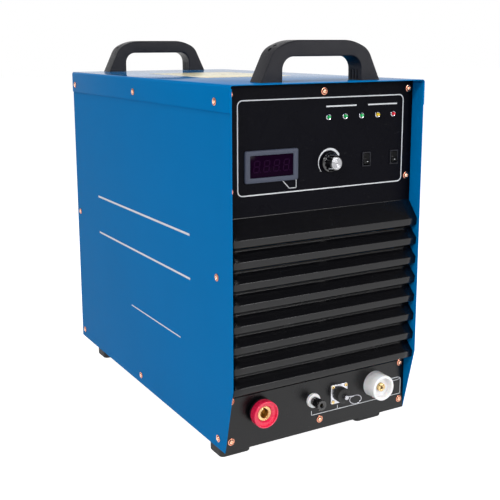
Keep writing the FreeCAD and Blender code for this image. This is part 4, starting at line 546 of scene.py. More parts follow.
def scuff_group():
    """A mask of short thin scuffs, from noise drawn out along one direction and cut at its crests."""
    group, at, result = effect("Scuffs", "Mask", Scale=60.0, Cover=0.2)
    values = {"Vector": at["Vector"], "Rotation": (0.4, 0.9, 0.3), "Scale": (1.0, 14.0, 3.0)}
    drawn = add(group, "ShaderNodeMapping", values).outputs[0]
    crest = clamp_range(group, noise(group, drawn, at["Scale"], 3.0, 0.7), 0.68, 0.76)
    group.links.new(maths(group, "MULTIPLY", crest, at["Cover"]), result)
    return group


# Shared effects put out colours, masks and heights.
EFFECTS = {"tone": tone_group, "gloss": gloss_group, "relief": relief_group, "rings": rings_group,
           "scuff": scuff_group}
BUILT = {}
DUST = (0.62, 0.62, 0.6)
WORN = (0.55, 0.55, 0.56)
SPECK_SCALE = 900.0


def shared(name):
    """The effect group of this name, built the first time that a material needs it."""
    if name not in BUILT:
        BUILT[name] = EFFECTS[name]()
    return BUILT[name]


# Each finish is a row: its roughness and how far that varies, how far the tone drifts and how fine, how fine
# the relief is and how high in micrometres, its share of peel and of grain, specks, scuffs, and the shader's
# constants. Scales are per metre.
FINISH_COLUMNS = ("rough", "vary", "tone", "tone_scale", "scale", "bump", "peel", "grain", "specks", "scuff",
                  "constants")
METAL = {"Metallic": 1.0}
LENS = {"Transmission Weight": 0.1, "Coat Weight": 0.3}
COMMON = {"Coat Roughness": 0.12, "Subsurface Scale": 0.002}
# The bump's distance in metres for each micrometre of relief, and its strength.
BUMP_REACH = 1e-5
BUMP_STRENGTH = 0.5
FINISHES = {
    "blue_paint": (0.1, 0.03, 0.05, 5, 420, 6, 1, 0.12, 0, 0, {"Specular IOR Level": 0.005}),
    "black_panel": (0.3, 0.12, 0.2, 9, 900, 40, 0.7, 0.4, 0.01, 0.02, {"Specular IOR Level": 0.03}),
    "louvre_paint": (0.26, 0.04, 0.1, 14, 800, 20, 0.8, 0.5, 0.01, 0.02, {"Specular IOR Level": 0.3}),
    "tray_metal": (0.5, 0.2, 0.1, 10, 500, 60, 0.8, 0.4, 0.08, 0.12, {}),
    "plated_steel": (0.32, 0.2, 0.14, 30, 350, 30, 0.6, 0.6, 0.02, 0.2, METAL),
    "yellow_zinc": (0.2, 0.2, 0.5, 160, 900, 20, 0.6, 0.6, 0, 0.1, METAL),
    # The crown row's lighter colour is a painted highlight, and the groove row's dark colour is painted
    # shade.
    "screw_crown": (0.22, 0.2, 0.3, 200, 900, 20, 0.6, 0.6, 0, 0.1, METAL),
    "screw_groove": (0.5, 0.2, 0.5, 200, 900, 20, 0.6, 0.6, 0, 0, {"Metallic": 0.6}),
    "black_plastic": (0.34, 0.12, 0.1, 25, 1500, 70, 0.8, 0.7, 0.03, 0.04, {"Specular IOR Level": 0.2}),
    "gloss_black": (0.1, 0.08, 0.1, 25, 900, 20, 0.6, 0.3, 0, 0.02, {"Coat Weight": 0.5}),
    "switch_black": (0.2, 0.08, 0.1, 25, 900, 20, 0.6, 0.3, 0, 0.02, {"Specular IOR Level": 0.1}),
    "grey_plastic": (0.42, 0.1, 0.06, 30, 1600, 50, 0.7, 0.6, 0.02, 0.04, {"Specular IOR Level": 0.2}),
    "rubber": (0.66, 0.14, 0.2, 40, 1300, 120, 0.7, 0.8, 0.12, 0.06, {}),
    "tint_pane": (0.1, 0.02, 0.1, 20, 120, 1, 0.5, 0.1, 0, 0, {"Specular IOR Level": 0.015}),
    "display": (0.5, 0.1, 0.2, 60, 1500, 30, 0.5, 0.5, 0.02, 0, {}),
    "segments": (0.3, 0.1, 0.1, 90, 1500, 10, 0.5, 0.5, 0, 0, {"Specular IOR Level": 0.03}),
    "chrome": (0.12, 0.12, 0.06, 60, 300, 20, 0.6, 0.3, 0, 0.08, METAL),
    "flange_plate": (0.24, 0.3, 0.7, 120, 300, 40, 0.6, 0.3, 0, 0.1, METAL),
    "aluminium": (0.22, 0.14, 0.08, 50, 700, 30, 0.4, 0.6, 0, 0.1, METAL),
    "green_lens": (0.12, 0.08, 0.12, 300, 600, 10, 0.5, 0.1, 0, 0, LENS),
    "yellow_lens": (0.12, 0.08, 0.12, 300, 600, 10, 0.5, 0.1, 0, 0, LENS),
    "red_lens": (0.12, 0.08, 0.12, 300, 600, 10, 0.5, 0.1, 0, 0, LENS),
    "red_plastic": (0.28, 0.12, 0.1, 60, 700, 30, 0.7, 0.2, 0.01, 0.04, {"Coat Weight": 0.2}),
    "white_plastic": (0.32, 0.1, 0.04, 60, 700, 30, 0.7, 0.2, 0, 0.03,
                      {"Coat Weight": 0.15, "Subsurface Weight": 0.1}),
    "brass": (0.22, 0.14, 0.14, 120, 800, 20, 0.4, 0.5, 0, 0.1, METAL),
    "board": (0.4, 0.1, 0.25, 120, 900, 40, 0.5, 0.5, 0.05, 0, {"Coat Weight": 0.4}),
    "copper": (0.35, 0.14, 0.2, 80, 900, 100, 0.5, 0.5, 0, 0.05, {"Metallic": 0.8}),
    "ferrite": (0.7, 0.1, 0.2, 60, 900, 80, 0.6, 0.8, 0.05, 0.05, {}),
    "hose": (0.35, 0.1, 0.08, 60, 500, 30, 0.6, 0.3, 0.02, 0.04, {}),
    "ink": (0.5, 0.1, 0.06, 90, 1500, 20, 0.5, 0.6, 0, 0, {}),
    "sheet_sign": (0.3, 0.12, 0.05, 12, 300, 30, 0.8, 0.2, 0.01, 0.03, {"Coat Weight": 0.3}),
}
SLOT_OF = {name: name for name in FINISHES if name not in ("ink", "sheet_sign", "segments")}
# The screws' painted highlight and painted shade share the washers' slot.
SLOT_OF.update(tint_pane="tint", gloss_black="black_plastic", switch_black="black_plastic",
               screw_crown="yellow_zinc", screw_groove="yellow_zinc", flange_plate="chrome")
MADE = {}


def material(finish, centre=None):
    """The finish as a material: tone, gloss and relief from shared groups, with constants on the shader.

    centre, a place (x, z) on the front, swaps the grain for rings turned about it."""
    key = finish if centre is None else "%s_turned_%d" % (finish, round(centre[0]))
    if key in MADE:
        return MADE[key]
    look = dict(zip(FINISH_COLUMNS, FINISHES[finish]))
    made = bpy.data.materials.new(key)
    made.use_nodes = True
    tree = made.node_tree
    where = add(tree, "ShaderNodeTexCoord").outputs["Object"]

    def placed(name, **values):
        """The output of a shared effect, set into this material with its own values."""
        return add(tree, "ShaderNodeGroup", {"Vector": where, **values}, node_tree=shared(name)).outputs[0]

    colour = (*getattr(bpy.context.scene.cutter_colours, finish), 1.0)
    tone = placed("tone", Colour=colour, Spread=look["tone"], Scale=look["tone_scale"], Specks=look["specks"])
    smudges = max(look["tone_scale"] * 2.5, 18.0)
    gloss = placed("gloss", Roughness=look["rough"], Spread=look["vary"], Scale=smudges)
    worn = blend(tree, placed("scuff", Cover=look["scuff"]), tone, WORN)
    if centre is None:
        height = placed("relief", Scale=look["scale"], Peel=look["peel"], Grain=look["grain"])
    else:
        back = (-centre[0] * 0.001, 0.0, -(centre[1] + CASE_ORIGIN[2]) * 0.001)
        middle = add(tree, "ShaderNodeMapping", {"Vector": where, "Location": back}).outputs[0]
        height = placed("rings", Vector=middle)
    values = {"Height": height, "Distance": look["bump"] * BUMP_REACH, "Strength": BUMP_STRENGTH}
    bump = add(tree, "ShaderNodeBump", values).outputs["Normal"]
    shader = tree.nodes["Principled BSDF"]
    for label, output in (("Base Color", worn), ("Roughness", gloss), ("Normal", bump)):
        tree.links.new(output, shader.inputs[label])
    for label, value in {**COMMON, **look["constants"]}.items():
        shader.inputs[label].default_value = value
    MADE[key] = made
    return made


# The case

def cover():
    """The bent top sheet: its outer and inner outlines make one closed profile, carried to the back."""
    half, inner, under, bend = CASE_HALF, CASE_HALF - SHEET, CASE_H - SHEET, 4.0
    outline = eased([(-half, COVER_LOW), (-half, CASE_H, bend), (half, CASE_H, bend), (half, COVER_LOW),
                     (inner, COVER_LOW), (inner, under, bend - SHEET), (-inner, under, bend - SHEET),
                     (-inner, COVER_LOW)], 8)
    piece("cover_sheet", [prism(outline, 0, CASE_D, "Y", mm(sizes().hem))], "blue_paint", nodes=["top_cover"])
    middle, width, length, corner, thick = 334, 156, 216, 4, 0.12
    sheet = rounded_box(0, middle, width, length, corner)
    piece("cover_plain_sheet", [prism(sheet, CASE_H, CASE_H + thick, "Z", thick / 3, 2)], "sheet_sign")


def side_bars():
    """Plain white bars printed on the left side."""
    # Front, back, bottom and top of each bar.
    bars = ((125, 493, 290.6, 294.0), (125, 493, 225.6, 228.8), (161, 350.5, 127.4, 129.4))
    boxes = [rounded_box((y0 + y1) / 2, (z0 + z1) / 2, y1 - y0, z1 - z0, 0.4, 2) for y0, y1, z0, z1 in bars]
    piece("side_bars", [prism(box, -SIDE_OUT - PRINT, -SIDE_OUT, "X") for box in boxes], "ink")


def louvres():
    """The folded louvre sheet: its side profile carried across the case, open where its air slots are."""
    fold = mm(sizes().fold)
    corners = [(PANEL_Y, CREASE_Z - 0.1), (PANEL_Y, CREASE_Z - 1.2, 1.0)]
    slots = []
    for i in range(LIP_COUNT):
        last = i == LIP_COUNT - 1
        top = LIP_TOP - i * LIP_PITCH
        start = np.array((LIP_Y + LIP_LEAN, top - LIP_DROP))
        end = (PANEL_BACK, CONNECTOR_TOP + 0.1) if last else (NOTCH_Y, top - LIP_DROP - NOTCH_DROP)
        run = np.array(end) - start
        mouth = [tuple(start + run * (y - start[0]) / run[0]) for y in SLOT_Y]
        corners += [(LIP_Y, top, fold), (*start, fold), *mouth, end if last else (*end, 0.8)]
        slots.append(mouth[0] + mouth[1])
    profile = eased(corners, 5, closed=False)
    edges = [x + s * SLOT_HALF for x in SLOT_X for s in (-1, 1)]
    xs = np.array(sorted([-PANEL_HALF + 0.3, *edges, PANEL_HALF - 0.3]))
    across = np.tile(xs, len(profile))
    points = np.column_stack([across, np.repeat(profile, len(xs), axis=0)])
    quads = lattice(len(profile), len(xs), ring_cols=False)
    middle = points[quads].mean(1)
    open_x = np.abs(middle[:, :1] - np.array(SLOT_X)[None]).min(1) < SLOT_HALF
    open_z = np.zeros(len(quads), bool)
    for y0, z0, y1, z1 in slots:
        open_z |= (middle[:, 1] > y0) & (middle[:, 1] < y1) & (middle[:, 2] < z0) & (middle[:, 2] > z1)
    sheet = piece("louvre_sheet", [(points, quads[~(open_x & open_z)], [])], "louvre_paint",
                  nodes=["louvre_fascia"])
    face_front(sheet)
    wall = sheet.modifiers.new("Sheet", "SOLIDIFY")
    wall.thickness = PLATE * 0.001
    wall.offset = -1.0
    wall.use_even_offset = True
    outline = np.concatenate([profile, [(PANEL_BACK, CONNECTOR_TOP + 1), (PANEL_BACK, CREASE_Z - 1)]])
    flange, inner = PANEL_HALF - PLATE, 133.4
    shapes = []
    for side in (-1, 1):
        shapes.append(prism(inset(outline, 0.12), *sorted((side * PANEL_HALF, side * flange)), "X"))
        shapes.append(block(sorted((side * flange, side * inner)), (PANEL_Y + 0.05, PANEL_BACK),
                            (CONNECTOR_TOP + 2, CREASE_Z - 0.4), 0.2))
    piece("louvre_cheeks", shapes, "louvre_paint")


def face_front(sheet):
    """Turns an open sheet's faces so that most of them look to the front."""
    mesh = sheet.data
    normals = np.empty(len(mesh.polygons) * 3)
    mesh.polygons.foreach_get("normal", normals)
    if normals.reshape(-1, 3)[:, 1].sum() > 0:
        mesh.flip_normals()


def screw_head(radius, steps):
    """The crown of a pan head with a cross recess, facing -Y.

    On a polar grid the height is the dome's, less the recess where either arm of the cross covers it."""
    ratio = np.array((0, 0.1, 0.18, 0.26, 0.35, 0.44, 0.54, 0.64, 0.74, 0.84, 0.92, 0.98, 1.0, 1.0))
    r = (ratio * radius)[:, None]
    t = circle(steps)
    base, rise, sink, arm, reach = 1.4, 1.2, 1.2, 0.62, radius * 0.72
    height = (base + rise * np.sqrt(np.clip(1 - (ratio / 1.02) ** 2, 0, None)))[:, None] + 0 * t
    height[-1] = 0.0
    a, b = np.abs(r * np.cos(t)), np.abs(r * np.sin(t))
    across, along = np.minimum(a, b), np.maximum(a, b)
    cut = np.clip((arm - across) / 0.3, 0, 1) * np.clip((reach - along) / 0.5, 0, 1)
    return turned(0, 0, r, sink * cut - height, t)


def screws():
    """Each screw is a crown coloured lighter as a painted highlight, a groove round it coloured dark as
    painted shade, and a washer, all sitting on the sheet.
    """
    radius = mm(sizes().screw_head)
    groove, rim, steps = radius * 0.56, radius * 0.72, 36
    bed = [(groove - 0.3, 0), (groove - 0.3, -0.3), (rim + 0.2, -0.3), (rim + 0.2, 0)]
    washer = [(rim, 0), (rim, -0.8), (rim + 0.15, -1.0), (radius - 0.3, -0.95), (radius, -0.7), (radius, 0)]
    places = [((x, PANEL_Y, z), 37 * k, 0) for k, (x, z) in enumerate(FRONT_SCREWS)]
    places += [((x, REAR_Y, z), 53 * k, 180) for k, (x, z) in enumerate(REAR_SCREWS)]
    for k, (y, z) in enumerate(SIDE_SCREWS):
        face = CASE_HALF if z > COVER_LOW else SIDE_OUT
        places += [((side * face, y, z), 41 * k, side * 90) for side in (-1, 1)]
    # The crowns' lighter finish is a painted highlight, and the grooves' dark finish is painted shade.
    bands = (("screw_crowns", "screw_crown", screw_head(groove, steps), []),
             ("screw_grooves", "screw_groove", lathe(bed, 0, 0, True, steps), []),
             ("pan_screws", "yellow_zinc", lathe(washer, 0, 0, True, steps), ["case_screws"]))
    for name, finish, part, nodes in bands:
        shapes = [moved(spun(spun(part, "Y", turn), "Z", facing), place) for place, turn, facing in places]
        piece(name, shapes, finish, nodes=nodes)


def handle_line(steps):
    """The outline of a handle over its legs, its shoulders and its nearly flat top."""
    leg = [(-98.5, HANDLE_FOOT), (-77.5, HANDLE_FOOT + 44, 28), (-50, CASE_H + HANDLE_RISE, 70)]
    return eased(leg + [(-x, *rest) for x, *rest in reversed(leg)], steps, closed=False)


def refined(line):
    """A handle's outline with its legs and its long middle run divided."""
    return np.concatenate([np.linspace(line[0], line[1], 10, endpoint=False), line[1:14],
                           np.linspace(line[14], line[15], 14, endpoint=False), line[15:28],
                           np.linspace(line[28], line[29], 11)])


def handle(y):
    """A moulded arch: a section that runs from the inner outline to the outer one, carried over both legs.

    Stations along the arch pair a place on the inner outline with one on the outer. The section's points
    stand off one of the two, each at its own depth. The grooves fade out above the straight legs."""
    leg, gap, bend = 65, CASE_H + HANDLE_GAP, 18
    corners = [(-leg, HANDLE_FOOT), (-leg, gap, bend), (leg, gap, bend), (leg, HANDLE_FOOT)]
    outer, inner = refined(handle_line(6)), refined(eased(corners, 13, closed=False))
    span = outer - inner
    ahead = span / np.linalg.norm(span, axis=1)[:, None]
    height = inner[:, 1]
    low = np.clip((gap - bend - height) / 2.5, 0, 1) * np.clip((height - HANDLE_FOOT) / 0.3, 0, 1)
    groove = inner + ahead * low[:, None]
    half, curve, lip = 16.0, mm(sizes().grip_edge), 2.4
    grooves = ((-8.5, -5.5), (-1.5, 1.5), (5.5, 8.5))
    q = np.linspace(0, math.pi / 2, 6)
    section = [(inner + ahead * lip * (1 - math.cos(a)), lip * (1 - math.sin(a)) - half) for a in q[::-1]]
    for start, end in grooves:
        section += [(inner, start), (groove, start), (groove, end), (inner, end)]
    section += [(inner + ahead * lip * (1 - math.cos(a)), half - lip * (1 - math.sin(a))) for a in q]
    section += [(outer - ahead * curve * (1 - math.sin(a)), half - curve * (1 - math.cos(a))) for a in q]
    section += [(outer - ahead * curve * (1 - math.cos(a)), curve * (1 - math.sin(a)) - half) for a in q]
    return skin(np.stack([stand(line, y + depth, "Y") for line, depth in section], 1))


def oval(x, y, side):
    """A short oval plug square to the outline: centre + along a cos t + across b sin t + outwards h."""
    line = handle_line(12)[:28]
    z, ahead = np.interp((-x, 0.5 - x), line[:, 0], line[:, 1])
    lean = -side * math.atan2(ahead - z, 0.5)
    t = circle(40)[:, None]
    along = np.array((math.cos(lean), 0.0, math.sin(lean)))
    outwards = np.array((-math.sin(lean), 0.0, math.cos(lean)))
    long, wide, deep, proud = 3.2, 2.8, 3.6, 2.0
    loop = np.array((x * side, y, z)) + long * along * np.cos(t) + np.array((0, wide, 0)) * np.sin(t)
    return skin([loop - deep * outwards, loop + proud * outwards])


def handles():
    """The two arches, each with a pair of oval recesses sunk in either shoulder."""
    for place, y in zip(("front", "rear"), HANDLE_Y):
        grip = piece("grip_" + place, [handle(y)], "black_plastic", nodes=["handle_" + place])
        sunk(grip, [oval(x, y + 1.5, side) for side in (-1, 1) for x in (75.0, 67.2)])


def feet():
    """Rubber blocks: rounded rectangles that widen over a soft bottom edge, with a round well from below."""
    width, depth, corner, floor, soft = 50, 37, 6, -27.0, 3.0
    well = ((8.0, -11.0), (8.0, -26.2), (8.8, floor))
    quarter = np.linspace(0, math.pi / 2, 5)
    steps = [(soft * (1 - math.sin(a)), floor + soft * (1 - math.cos(a))) for a in quarter]
    shapes = []
    for x, y in FOOT_PLACES:
        outline = rounded_box(x, y, width, depth, corner)
        rows = [(round_loop(x, y, radius), z) for radius, z in well]
        rows += [(rounded_box(x, y, width - 2 * less, depth - 2 * less, corner), z) for less, z in steps]
        rows += [(outline, -1.1), (inset(outline, 0.7), -0.2)]
        shapes.append(skin([stand(loop, z, "Z") for loop, z in rows]))
    piece("foot_blocks", shapes, "rubber", nodes=["rubber_feet"])


# The control panel

def stroke(a, b, width, y=PANEL_Y):
    """A printed line between two places on the front or the back, as a thin bar with square ends."""
    a, b = np.array(a, float), np.array(b, float)
    along = (b - a) / np.linalg.norm(b - a) * width / 2
    side = np.array((-along[1], along[0]))
    outline = np.array([a - along - side, b + along - side, b + along + side, a - along + side])
    return prism(outline, y - PRINT, y, "Y")


def panel_print():
    """White lines on the two front panels: the frame, the lamp line, the dial arc and the brackets."""
    frame_line = rounded_box(1.7, 423.8, 278, 128, 8)
    within = inset(frame_line, mm(sizes().print_line))
    ys = (PANEL_Y, PANEL_Y - PRINT, PANEL_Y - PRINT, PANEL_Y)
    t = np.radians(np.linspace(223, 27, 60))
    wide = np.interp(np.linspace(0, 1, 60), (0, 0.35, 0.75, 0.96, 1), (0.5, 1.6, 3.3, 3.1, 1.4))
    low, high = [np.array(KNOB) + (18.3 + s * wide / 2)[:, None] * around(t) for s in (-1, 1)]
    rows = [stand(loop, y, "Y") for loop, y in zip((low, low, high, high), ys)]
    shapes = [ring_of([frame_line, frame_line, within, within], ys), skin(np.stack(rows, 1))]
    # Width and corners of each line: beside the lamps, under the meter and round the front sockets.
    lines = ((1.9, (4.9, 474.7), (55, 474.7)),
             (1.9, (77, 474.7), (127.8, 474.7)),
             (1.0, (-66, 376.2), (-55.6, 365.6), (-44.6, 365.6), (-44.6, 376.2)),
             (1.0, (-14.6, 30.6), (-14.6, 24.4), (151.4, 24), (151.4, 49.2), (147.6, 51.4), (124, 51.4)),
             (0.8, (151.4, 49.2), (146.6, 47.4), (124, 47.4)),
             (1.0, (32.1, 24.3), (32.1, 30)))
    for width, *points in lines:
        shapes += [stroke(a, b, width) for a, b in zip(points, points[1:])]
    piece("panel_print", shapes, "ink")


def meter():
    """The bezel, whose loops run from its back over the front lip and through its housing, and its pane."""
    x, z = METER
    rows = [(84, 43.6, 3, 23.0), (84, 43.6, 3, 20.9), (83.5, 43.1, 2.9, 20.2), (82.2, 41.8, 2.6, 19.8),
            (69.4, 31.4, 1.3, 19.8), (68.6, 30.6, 1.2, 20.0), (68, 30, 1, 20.7), (68, 30, 1, 21.2),
            (72.8, 34.8, 0.6, 21.2), (72.8, 34.8, 0.6, 63.0), (76, 38, 1, 63.0), (76, 38, 1, 23.0)]
    piece("meter_frame", [stepped(x, z, rows, ring=True)], "grey_plastic", nodes=["meter_bezel"])
    pane = prism(rounded_box(x, z, 72.6, 34.6, 0.5), 21.3, 23.25, "Y", 0.15, 2)
    piece("meter_pane", [pane], "tint_pane", nodes=["meter_window"])
    dress("display", "meter_display")
    shapes = []
    for k in range(4):
        shapes += digit(x + (k - 1.5) * 15.5, z, 8.2, 15.0)
    piece("meter_segments", shapes, "segments")


def digit(x, z, width, height):
    """Seven bars and a point of an unlit display digit, leaning a little to the right."""
    w, h, half, lean = width / 2, height / 2, 0.85, 0.13
    level = np.array([(-w + 1.2, -half), (w - 1.2, -half), (w - 0.4, 0), (w - 1.2, half), (-w + 1.2, half),
                      (-w + 0.4, 0)])
    upright = np.array([(-half, 1.1), (0, 0.4), (half, 1.1), (half, h - 1.1), (0, h - 0.4), (-half, h - 1.1)])
    bars = [level + (0, dz) for dz in (-h, 0, h)]
    bars += [upright + (dx, dz) for dx in (-w, w) for dz in (-h, 0)]
    bars.append(round_loop(w + 2.4, -h, 0.9, 3))
    return [prism(np.stack([x + bar[:, 0] + bar[:, 1] * lean, z + bar[:, 1]], 1), 21.25, 21.31, "Y")
            for bar in bars]


def knob():
    """A turned knob with soft flutes, its cap with tooled rings, and the pointer down its flank."""
    x, z = KNOB
    profile = [(0, 5.7), (9.1, 5.7), (9.7, 5.9), (9.9, 6.4), (10.1, 7.5), (10.6, 11), (11.2, 15), (11.5, 17),
               (11.8, 17.8), (13.2, 18.6), (13.8, 19.2), (14, 20), (14, 21.0), (13.7, 21.4), (5.6, 21.4),
               (5.6, 20.3), (0, 20.3)]
    grip = fluted(profile, x, z, (12, 1.25, 1.6), (5.8, 0.9), (17.6, 1.2), ring=False)
    shaft = lathe([(0, 18.2), (3.0, 18.2), (3.0, 31.5), (0, 31.5)], x, z)
    piece("knob_grip", [grip, shaft], "gloss_black", body="knob", nodes=["current_knob"])
    rings = np.linspace(0.0, 8.0, 81)
    tooled = 4.5 + 0.03 * np.cos(2 * math.pi * rings / 0.8)
    face = lathe([*zip(rings, tooled), (8.5, 4.65), (8.7, 4.9), (8.7, 5.65), (0, 5.65)], x, z)
    piece("knob_face", [face], "aluminium", body="knob", nodes=["knob_cap"])
    r, y = np.array([(8.9, 5.45), (9.7, 5.65), (10.05, 7.0), (10.5, 10.0), (10.9, 12.6)]).T
    turn = math.radians(-135)
    pointer = np.stack([x + r * math.cos(turn), y, z + r * math.sin(turn)], 1)
    piece("knob_pointer", [wire(0.55, pointer)], "ink", body="knob")


def switches():
    """Each switch is a frame, a paddle with two flats that lean 12 degrees, its ridge and a white dot."""
    rows = [(11, 17, 0.4, 34.9), (11, 17, 0.4, 21.5), (11.6, 17.6, 0.5, 21), (14, 20, 0.6, 21),
            (14.5, 20.5, 0.7, 21.1), (15, 21, 0.8, 21.6), (15, 21, 0.8, 23), (13, 18.8, 0.5, 23),
            (13, 18.8, 0.5, 43)]
    frames = [stepped(x, SWITCH_Z, rows, steps=4) for _, x in SWITCHES]
    piece("switch_frames", frames, "black_plastic", nodes=["switch_housings"])
    z, pivot, crest, half, lean, fall = SWITCH_Z, 24.6, 21.4, 7.4, 12, 4.6
    slope = math.tan(math.radians(lean))
    edge = crest - half * slope
    outline = eased([(crest, z, 2.5), (edge, z + half, 0.5), (pivot + 2, z + half, 0.3),
                     (pivot + 2, z - half, 0.3), (edge, z - half, 0.5)], 4)
    dot = spun(lathe([(0, 0), (0.95, 0), (0.95, 0.3), (0, 0.3)], 0, 0, steps=24), "X", lean)
    for side, x in SWITCHES:
        paddle = prism(outline, x - 5.2, x + 5.2, "X", 0.4)
        ridge = prism(rounded_box(crest + 0.1, z, 0.5, 1.6, 0.2, 2), x - 3.4, x + 3.4, "X", 0.1, 2)
        mark = moved(dot, (x, crest - fall * slope - 0.06, z - fall))
        paddle, ridge, mark = [spun(shape, "X", -lean, (x, pivot, z)) for shape in (paddle, ridge, mark)]
        body = side + "_rocker"
        piece("paddle_" + side, [paddle, ridge], "switch_black", body=body, nodes=["rocker_" + side])
        piece("paddle_dot_" + side, [mark], "ink", body=body)


def lamps():
    """Chrome rims, each a turned ring, and domed lenses that stand out of them."""
    rims, lenses = [], {"green": [], "yellow": [], "red": []}
    dome, radius, seat, tail = mm(sizes().lens_dome), 2.45, 21.4, 30.0
    crown = [(radius * math.sin(a), seat - dome * math.cos(a)) for a in np.linspace(0, math.pi / 2, 8)]
    rim = [(4.5, 23), (4.5, 22.3), (4.1, 21.7), (3.5, 21.3), (3, 21.4), (2.7, 22), (2.6, 22.6), (2.6, 23)]
    for x, colour in LAMPS:
        rims.append(lathe(rim, x, LAMP_Z, ring=True, steps=40))
        lenses[colour].append(lathe(crown + [(radius, tail), (0, tail)], x, LAMP_Z, steps=32))
    piece("lamp_rims", rims, "chrome", nodes=["lamp_holders"])
    for colour, shapes in lenses.items():
        piece("lens_" + colour, shapes, colour + "_lens", nodes=["lamp_" + colour])


# The front sockets

def work_socket():
    """A turned ring and base round a contact whose bore widens to a keyway at its top."""
    x, z = WORK
    ring = eased([(19.5, 15.4), (19.5, 4.0, 1.1), (17.2, 4.0, 0.5), (17.2, 7.4, 0.4), (13.0, 7.4, 0.6),
                  (10.9, 9.2, 0.4), (10.9, 15.4)], 5)
    piece("socket_ring", [lathe(ring, x, z, ring=True)], "red_plastic", nodes=["work_socket_ring"])
    base = eased([(17.0, 23.0), (17.0, 15.6, 0.6), (10.9, 15.6), (10.9, 23.0)], 4)
    piece("socket_base", [lathe(base, x, z, ring=True)], "black_plastic", nodes=["work_socket_base"])
    hole, key, key_half = 6.5, 8.5, 2.0
    t = circle(144)
    keyway = (np.abs(np.cos(t)) * key < key_half) & (np.sin(t) > 0)
    bore = np.where(keyway, key, hole)
    rows = [(hole, 36.0), (bore, 23.0), (bore, 10.5), (bore + 0.4, 10.0), (10.3, 10.0), (10.6, 10.3),
            (10.6, 22.9), (8.5, 22.9), (8.5, 52.5), (0, 52.5), (0, 36.0)]
    r, y = np.array([r + 0 * t for r, _ in rows]), np.array([y for _, y in rows])[:, None]
    shapes = [turned(x, z, r, y, t, ring=True), hex_nut(x, z, 27, *NUT_Y, 8.4)]
    brass = piece("socket_insert", shapes, "brass", nodes=["work_socket_contact"])
    brass.data.materials[0] = material("brass", WORK)


def torch_socket():
    """A turned cup, and a contact of four quarter sectors (radius cos t, radius sin t) round a hole."""
    x, z = TORCH
    cup = eased([(8.6, 44.4), (8.6, 10.0), (6.4, 10.0), (6.4, 8.0, 0.3), (15.0, 8.0, 0.8), (15.2, -0.7, 0.4),
                 (15.9, -1.0, 0.3), (18.4, -1.0, 0.8), (19.3, 0.0, 0.4), (19.6, 21.8, 0.6), (19.9, 23.0),
                 (13.0, 23.0), (13.0, 44.4)], 5)
    shapes = [lathe(cup, x, z, ring=True), hex_nut(x, z, 34, *NUT_Y, 13.1)]
    piece("torch_cup", shapes, "white_plastic", nodes=["torch_socket_shell"])
    outer, inner = np.radians(np.linspace(48.5, 131.5, 14)), np.radians(np.linspace(122, 58, 7))
    outline = np.concatenate([r * around(t) for r, t in ((6.2, outer), (2.2, inner))])
    sector = prism(outline, 3.6, 10.3, "Y", 0.5, 3)
    shapes = [moved(spun(sector, "Y", -90 * k), (x, 0, z)) for k in range(4)]
    stem = [(2.2, 10.1), (8.35, 10.1), (8.35, 56.4), (0, 56.4), (0, 26.0), (2.2, 26.0)]
    shapes.append(lathe(stem, x, z, ring=True))
    contact = piece("torch_pin", shapes, "brass", nodes=["torch_socket_contact"])
    contact.data.materials[0] = material("brass", TORCH)


def pilot_post():
    """A turned collar, a threaded stud with its nut and the fluted thumb nut."""
    x, z = POST
    collar = eased([(2.6, 23.0), (2.6, 18.5), (10.8, 18.5, 1.2), (10.8, 23.0)], 5)
    piece("post_collar", [lathe(collar, x, z, ring=True)], "white_plastic", nodes=["pilot_post_collar"])
    profile = [(2.56, 18.2), (6.6, 18.2), (7, 17.8), (7, 12), (7, 6), (7, 2.6), (7.6, 2.2), (8, 1.8),
               (8, -0.2), (7.6, -0.8), (6.6, -1.0), (4.2, -1.0), (3.6, -0.6), (2.56, 0.6), (2.56, 18.2)]
    nut = fluted(profile, x, z, (10, 0.9, 2), (-1.05, 0.4), (18.0, 0.5), least=6, steps=120)
    piece("post_thumb_nut", [nut], "gloss_black", body="thumb_nut", nodes=["pilot_post_nut"])
    stud = [thread(x, z, 7.2, 46.4, 2.48, 0.3, 0.8), hex_nut(x, z, 13, *NUT_Y, 2.3)]
    piece("post_stud", stud, "brass", nodes=["pilot_post_stud"])


